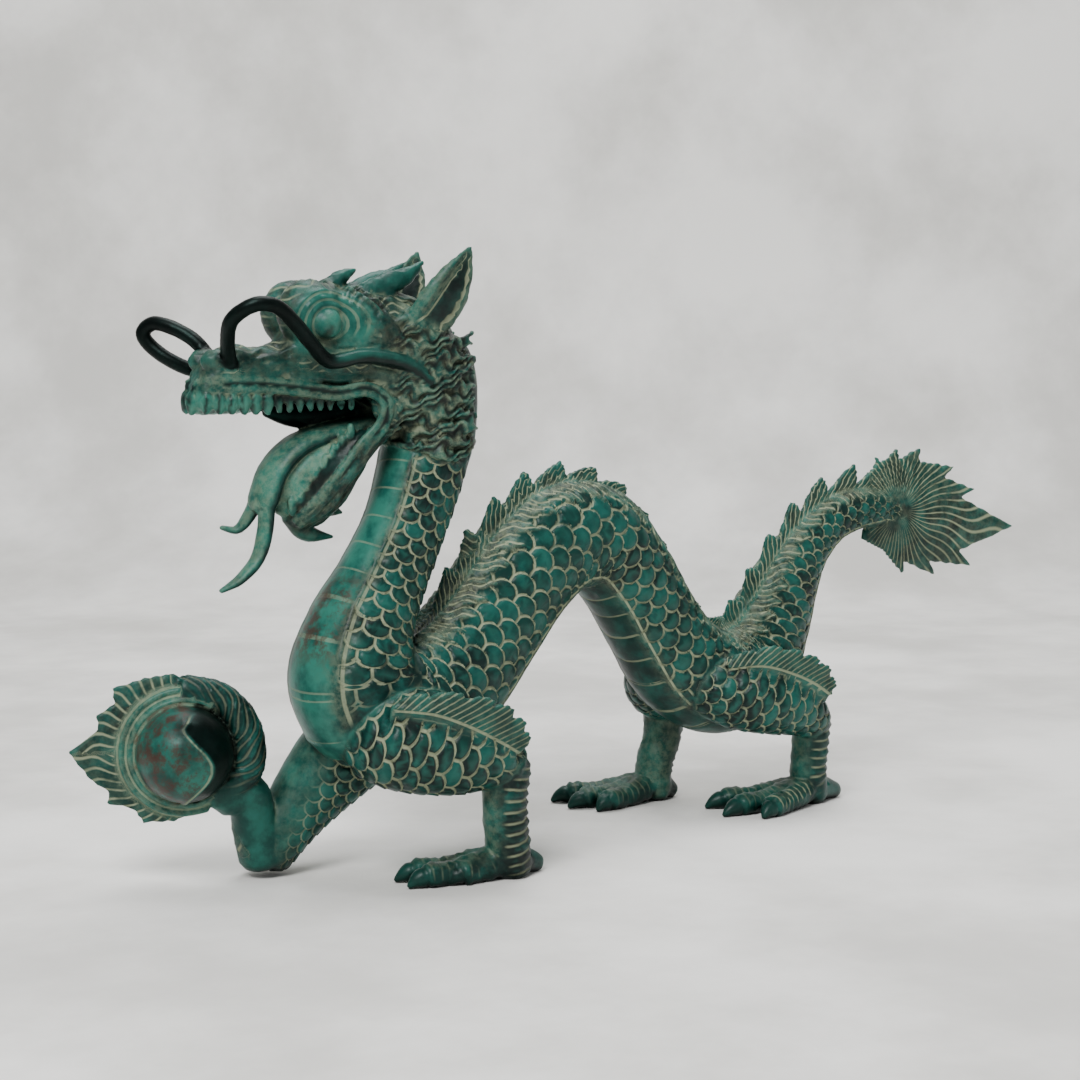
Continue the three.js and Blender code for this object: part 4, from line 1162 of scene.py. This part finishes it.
# Painted shade: the gums and the throat are painted dark for the shade inside the mouth. The whiskers' dark
# is their own colour.
SMALL_MARKS = {
    "whisker": {"dark": 1.0}, "throat": {"dark": 1.0}, "brow_hair": {"chalk": 0.1}, "mane": {"chalk": 0.18},
    "lip": {"chalk": 0.3, "teal": 0.3}, "gum": {"dark": 0.8}, "lid": {"teal": 0.3},
    "rim": {"chalk": 0.2, "teal": 0.3}, "horn": {"teal": 0.3}, "hair": {"chalk": 0.12},
}


def relief(points, normals):
    """All layers of the relief and the paint, pressed in this order."""
    made = Relief(points, normals)
    for press in (
        press_neck, press_body, press_limbs, press_hands, press_blades, press_paw,
        press_face, press_mane, press_eyes, press_mouth, press_ears, paint_small_forms,
    ):
        press(made)
    made.tone = np.clip(made.tone, 0, 1)
    return made


points, faces, normals = one_skin(skins)
height = np.clip(relief(points, normals).height, -3.0, 1.4)
points = points + normals * height[:, None]
points[:, 2] = np.maximum(points[:, 2], 0)
detailed = mesh_object("detailed", points, faces)
thin = detailed.modifiers.new("thin", "DECIMATE")
thin.ratio = min(1.0, TRIANGLES / len(faces))
points, faces, normals = worked(detailed)
finished = relief(points, normals)
print("casting:", len(points), "vertices,", len(faces), "triangles")

row_middle = np.append(((box_low + box_high) / 2)[:2], 0)
placed = (points - DESIGN_MIDDLE) / 1000 + row_middle
placed = np.clip(placed, box_low + 1e-4, box_high - 1e-4)
dragon = mesh_object("dragon_casting", placed, faces)
for name in ("scale", "stripe", "ring", "edge"):
    layer = dragon.data.attributes.new(name, "FLOAT_VECTOR", "POINT")
    layer.data.foreach_set("vector", getattr(finished, name).astype(np.float32).ravel())
layer = dragon.data.attributes.new("tone", "FLOAT_COLOR", "POINT")
layer.data.foreach_set("color", np.ascontiguousarray(finished.tone, dtype=np.float32).ravel())
dragon.data.shade_smooth()
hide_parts("dragon")
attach(dragon, "root")

# ---- Patina, with painted light and shade ----

BLACK_GREEN = (0.002, 0.009, 0.008, 1)
DEEP_GREEN = (0.002, 0.032, 0.025, 1)
TEAL = (0.004, 0.07, 0.056, 1)
LIGHT_TEAL = (0.026, 0.155, 0.115, 1)
# Pale chalky patina, also used for painted light on lit sides and on crests.
CHALK_AND_PAINTED_LIGHT = (0.31, 0.34, 0.215, 1)
# Near black: the black patina, and the painted shade in hollows and under parts.
BLACK_PATINA_AND_SHADE = (0.003, 0.005, 0.0045, 1)
COPPER = (0.05, 0.014, 0.009, 1)
PLASTER_GREY = (0.6, 0.59, 0.56, 1)
PLASTER_WHITE = (0.86, 0.85, 0.82, 1)
SKY = (0.9, 0.95, 1.0, 1)


class Graph:
    """The shader nodes of one material, written as formulas."""

    COLOUR_SOCKETS = 6, 7, 2     # of a mix node: the two colours that go in and the one that comes out

    def __init__(self, name):
        self.material = bpy.data.materials.new(name)
        self.material.use_nodes = True
        self.nodes = self.material.node_tree.nodes
        self.links = self.material.node_tree.links
        self.shader = self.nodes["Principled BSDF"]
        self.place = self.nodes.new("ShaderNodeTexCoord").outputs["Object"]

    def put(self, socket, value):
        if isinstance(value, bpy.types.NodeSocket):
            self.links.new(value, socket)
        else:
            socket.default_value = value

    def math(self, operation, *values, clamp=False):
        made = self.nodes.new("ShaderNodeMath")
        made.operation = operation
        made.use_clamp = clamp
        for socket, value in zip(made.inputs, values):
            self.put(socket, value)
        return made.outputs[0]

    def fade(self, value, low, high):
        made = self.nodes.new("ShaderNodeMapRange")
        made.interpolation_type = "SMOOTHSTEP"
        for place, number in enumerate((value, low, high)):
            self.put(made.inputs[place], number)
        return made.outputs[0]

    def mix(self, share, first, second):
        """One colour laid over another."""
        made = self.nodes.new("ShaderNodeMix")
        made.data_type = "RGBA"
        first_socket, second_socket, result = self.COLOUR_SOCKETS
        self.put(made.inputs["Factor"], share)
        self.put(made.inputs[first_socket], first)
        self.put(made.inputs[second_socket], second)
        return made.outputs[result]

    def choose(self, share, first, second):
        """One number laid over another."""
        made = self.nodes.new("ShaderNodeMix")
        for place, value in enumerate((share, None, first, second)):
            if value is not None:
                self.put(made.inputs[place], value)
        return made.outputs[0]

    def noise(self, scale, detail=4.0, rough=0.6):
        made = self.nodes.new("ShaderNodeTexNoise")
        self.put(made.inputs["Vector"], self.place)
        made.inputs["Scale"].default_value = scale
        made.inputs["Detail"].default_value = detail
        made.inputs["Roughness"].default_value = rough
        return made.outputs["Fac"]

    def stored(self, name):
        """The three numbers and the alpha of an attribute of the mesh."""
        made = self.nodes.new("ShaderNodeAttribute")
        made.attribute_name = name
        split = self.nodes.new("ShaderNodeSeparateXYZ")
        self.links.new(made.outputs["Vector"], split.inputs[0])
        return [*split.outputs, made.outputs["Alpha"]]


def scale_lines(g):
    """The line round each scale (1 on it, 0 inside), a number of its own for each, and the mask."""
    u, v, mask, _ = g.stored("scale")
    first = g.math("CEIL", g.math("SUBTRACT", u, SCALE_REACH / ROW_STEP))

    def row(step):
        """As in scale_edge: reach inside the scale's arc, distance from its seam, and its number."""
        k = g.math("ADD", first, step)
        shifted = g.math("SUBTRACT", v, g.math("MULTIPLY", g.math("FLOORED_MODULO", k, 2.0), 0.5))
        column = g.math("ROUND", shifted)
        across = g.math("ABSOLUTE", g.math("SUBTRACT", shifted, column))
        ahead = g.math("MULTIPLY", g.math("SUBTRACT", u, k), ROW_STEP)
        squares = g.math("ADD", g.math("MULTIPLY", across, across), g.math("MULTIPLY", ahead, ahead))
        inner = g.math("SUBTRACT", SCALE_REACH, g.math("SQRT", squares))
        number = g.math("ADD", g.math("MULTIPLY", k, 17.31), g.math("MULTIPLY", column, 5.73))
        return inner, g.math("SUBTRACT", 0.5, across), number

    (top, top_seam, top_number), (under, under_seam, under_number) = row(0.0), row(1.0)
    covered = g.math("GREATER_THAN", top, 0.0)
    above = g.math("MINIMUM", top, top_seam)
    beneath = g.math("MINIMUM", g.math("MINIMUM", under, under_seam), g.math("MULTIPLY", top, -1.0))
    edge = g.choose(covered, beneath, above)
    chance = g.nodes.new("ShaderNodeTexWhiteNoise")
    chance.noise_dimensions = "1D"
    g.put(chance.inputs["W"], g.choose(covered, under_number, top_number))
    return g.math("MULTIPLY", g.fade(edge, 0.068, 0.03), mask), chance.outputs["Value"], mask


def drawn_lines(g):
    """The grooves between stripes, and the drawn lines; also how black the place is."""
    phase, mask, _, _ = g.stored("stripe")
    away = g.math("ABSOLUTE", g.math("SUBTRACT", g.math("FRACT", phase), 0.5))
    between = g.math("MULTIPLY", g.fade(away, 0.3, 0.48), mask)
    phase, pitch, mask, _ = g.stored("ring")
    away = g.math("MULTIPLY", g.math("ABSOLUTE", g.math("SUBTRACT", phase, g.math("ROUND", phase))), pitch)
    rings = g.math("MULTIPLY", g.fade(away, 0.65, 0.3), mask)
    distance, mask, black, _ = g.stored("edge")
    edge = g.math("MULTIPLY", g.fade(g.math("ABSOLUTE", distance), 0.7, 0.35), mask)
    return g.math("MAXIMUM", g.math("MAXIMUM", between, rings), edge), black


def bronze():
    """Green patina, chalky in the grooves, lighter on the ridges, black where little light comes (painted
    shade), with the painted light and shade of the tone marks.
    """
    g = Graph("bronze_patina_painted_light_and_shade")
    chalk, teal, dark, copper = g.stored("tone")
    clouds, blots, grain = g.noise(24.0), g.noise(90.0), g.noise(300.0, 5.0, 0.7)
    edges, chance, scaled = scale_lines(g)
    drawn, black = drawn_lines(g)
    grooves = g.math("MAXIMUM", edges, drawn, clamp=True)
    geometry = g.nodes.new("ShaderNodeNewGeometry")
    lighter_ridges = g.fade(geometry.outputs["Pointiness"], 0.515, 0.57)
    hollow = g.fade(geometry.outputs["Pointiness"], 0.49, 0.44)
    # Painted shade: ambient occlusion darkens deep hollows, the mouth and the gaps between parts.
    shade = g.nodes.new("ShaderNodeAmbientOcclusion")
    shade.samples = 6
    shade.inputs["Distance"].default_value = 0.014
    occlusion_shade = g.fade(shade.outputs["AO"], 0.62, 0.2)

    green = g.mix(g.fade(clouds, 0.4, 0.62), BLACK_GREEN, DEEP_GREEN)
    own = g.math("ADD", g.math("MULTIPLY", g.math("SUBTRACT", chance, 0.5), 0.34), blots)
    green = g.mix(g.fade(g.choose(scaled, blots, own), 0.42, 0.68), green, TEAL)
    light = g.mix(g.fade(blots, 0.32, 0.62), TEAL, LIGHT_TEAL)
    colour = g.mix(g.math("MULTIPLY", teal, 0.9), green, light)
    pale = g.math("MULTIPLY", g.math("MAXIMUM", grooves, g.math("MULTIPLY", hollow, 0.45)),
                  g.fade(g.noise(70.0), 0.22, 0.5))
    pale = g.math("ADD", pale, g.math("MULTIPLY", chalk, g.fade(grain, 0.34, 0.66)), clamp=True)
    # Chalky patina in the grooves and hollows, and painted light from the pale tone marks.
    colour = g.mix(g.math("MULTIPLY", pale, 0.8), colour, CHALK_AND_PAINTED_LIGHT)
    # Lighter teal on the convex ridges.
    colour = g.mix(g.math("MULTIPLY", lighter_ridges, 0.3), colour, LIGHT_TEAL)
    colour = g.mix(g.math("MULTIPLY", copper, g.fade(g.noise(150.0, 6.0, 0.75), 0.42, 0.6)), colour, COPPER)
    # Painted shade: dark marks and occlusion turn the colour near black and make it metallic, so these
    # places show no reflection.
    dark = g.math("MAXIMUM", g.math("MULTIPLY", dark, 0.93), g.math("MULTIPLY", occlusion_shade, 0.85))
    colour = g.mix(dark, colour, BLACK_PATINA_AND_SHADE)
    g.put(g.shader.inputs["Metallic"], g.math("MAXIMUM", black, g.math("MULTIPLY", occlusion_shade, 0.9), clamp=True))
    g.put(g.shader.inputs["Base Color"], colour)
    g.put(g.shader.inputs["Roughness"], g.math("ADD", 0.38, g.math("MULTIPLY", pale, 0.34)))
    g.shader.inputs["Specular IOR Level"].default_value = 0.2
    bump = g.nodes.new("ShaderNodeBump")
    bump.inputs["Strength"].default_value = 0.4
    bump.inputs["Distance"].default_value = 0.0006
    g.put(bump.inputs["Height"], g.math("SUBTRACT", g.math("MULTIPLY", grain, 0.5), grooves))
    g.put(g.shader.inputs["Normal"], bump.outputs[0])
    return g.material


dragon.data.materials.append(bronze())

# ---- Studio ----

middle = (box_low + box_high) / 2
span = box_high - box_low
VIEW_TURN, VIEW_RISE = math.radians(-40), math.radians(5.32)
VIEW_DISTANCE = 0.924
VIEW_LENS = 69.8
back = np.array([math.sin(VIEW_TURN) * math.cos(VIEW_RISE), -math.cos(VIEW_TURN) * math.cos(VIEW_RISE),
                 math.sin(VIEW_RISE)])
aim = middle + span * np.array([-0.0989, 0, 0.0165])


def studio_floor():
    """A floor that curves up into a backdrop behind the view."""
    away, size, bend, height = 0.75, 4.0, 0.35, 3.0
    profile = [(-size, 0.0), (away, 0.0)]
    for turn in np.radians(np.linspace(8, 90, 12)):
        profile.append((away + bend * math.sin(turn), bend * (1 - math.cos(turn))))
    profile.append((away + bend, height))
    into = -np.array([back[0], back[1]]) / math.hypot(back[0], back[1])
    across = np.array([-into[1], into[0]])
    rings = [[[*(into * d + across * w), z] for d, z in profile] for w in (-size, size)]
    points = np.array(rings).reshape(-1, 3)
    n = len(profile)
    faces = [[i, i + 1, n + i + 1, n + i] for i in range(n - 1)]
    floor = mesh_object("studio_floor", points, faces)
    floor.data.shade_smooth()
    g = Graph("plaster")
    cloud = g.fade(g.noise(5.0, 6.0), 0.32, 0.66)
    g.put(g.shader.inputs["Base Color"], g.mix(cloud, PLASTER_GREY, PLASTER_WHITE))
    g.shader.inputs["Roughness"].default_value = 0.85
    floor.data.materials.append(g.material)


def area_light(name, place, size, watts):
    data = bpy.data.lights.new(name, "AREA")
    data.size = size
    data.energy = watts
    lamp = bpy.data.objects.new(name, data)
    lamp.location = place
    toward = unit(middle - np.array(place))
    lamp.rotation_euler = (math.acos(-toward[2]), 0, math.atan2(-toward[0], toward[1]))
    bpy.context.scene.collection.objects.link(lamp)


studio_floor()
area_light("key", (-1.2, -0.7, 1.4), 0.7, 38)
area_light("fill", (0.7, -1.4, 0.7), 1.2, 3)
area_light("top", (0.2, 0.2, 1.7), 1.0, 26)
world = bpy.data.worlds.new("studio")
bpy.context.scene.world = world
world.use_nodes = True
sky = world.node_tree.nodes["Background"]
sky.inputs["Color"].default_value = SKY
sky.inputs["Strength"].default_value = 0.26

lens = bpy.data.cameras.new("camera")
lens.lens = VIEW_LENS
lens.sensor_width = 36
lens.clip_end = 20
camera = bpy.data.objects.new("camera", lens)
camera.location = aim + back * VIEW_DISTANCE
camera.rotation_euler = (math.pi / 2 - VIEW_RISE, 0, VIEW_TURN)
bpy.context.scene.collection.objects.link(camera)
bpy.context.scene.camera = camera
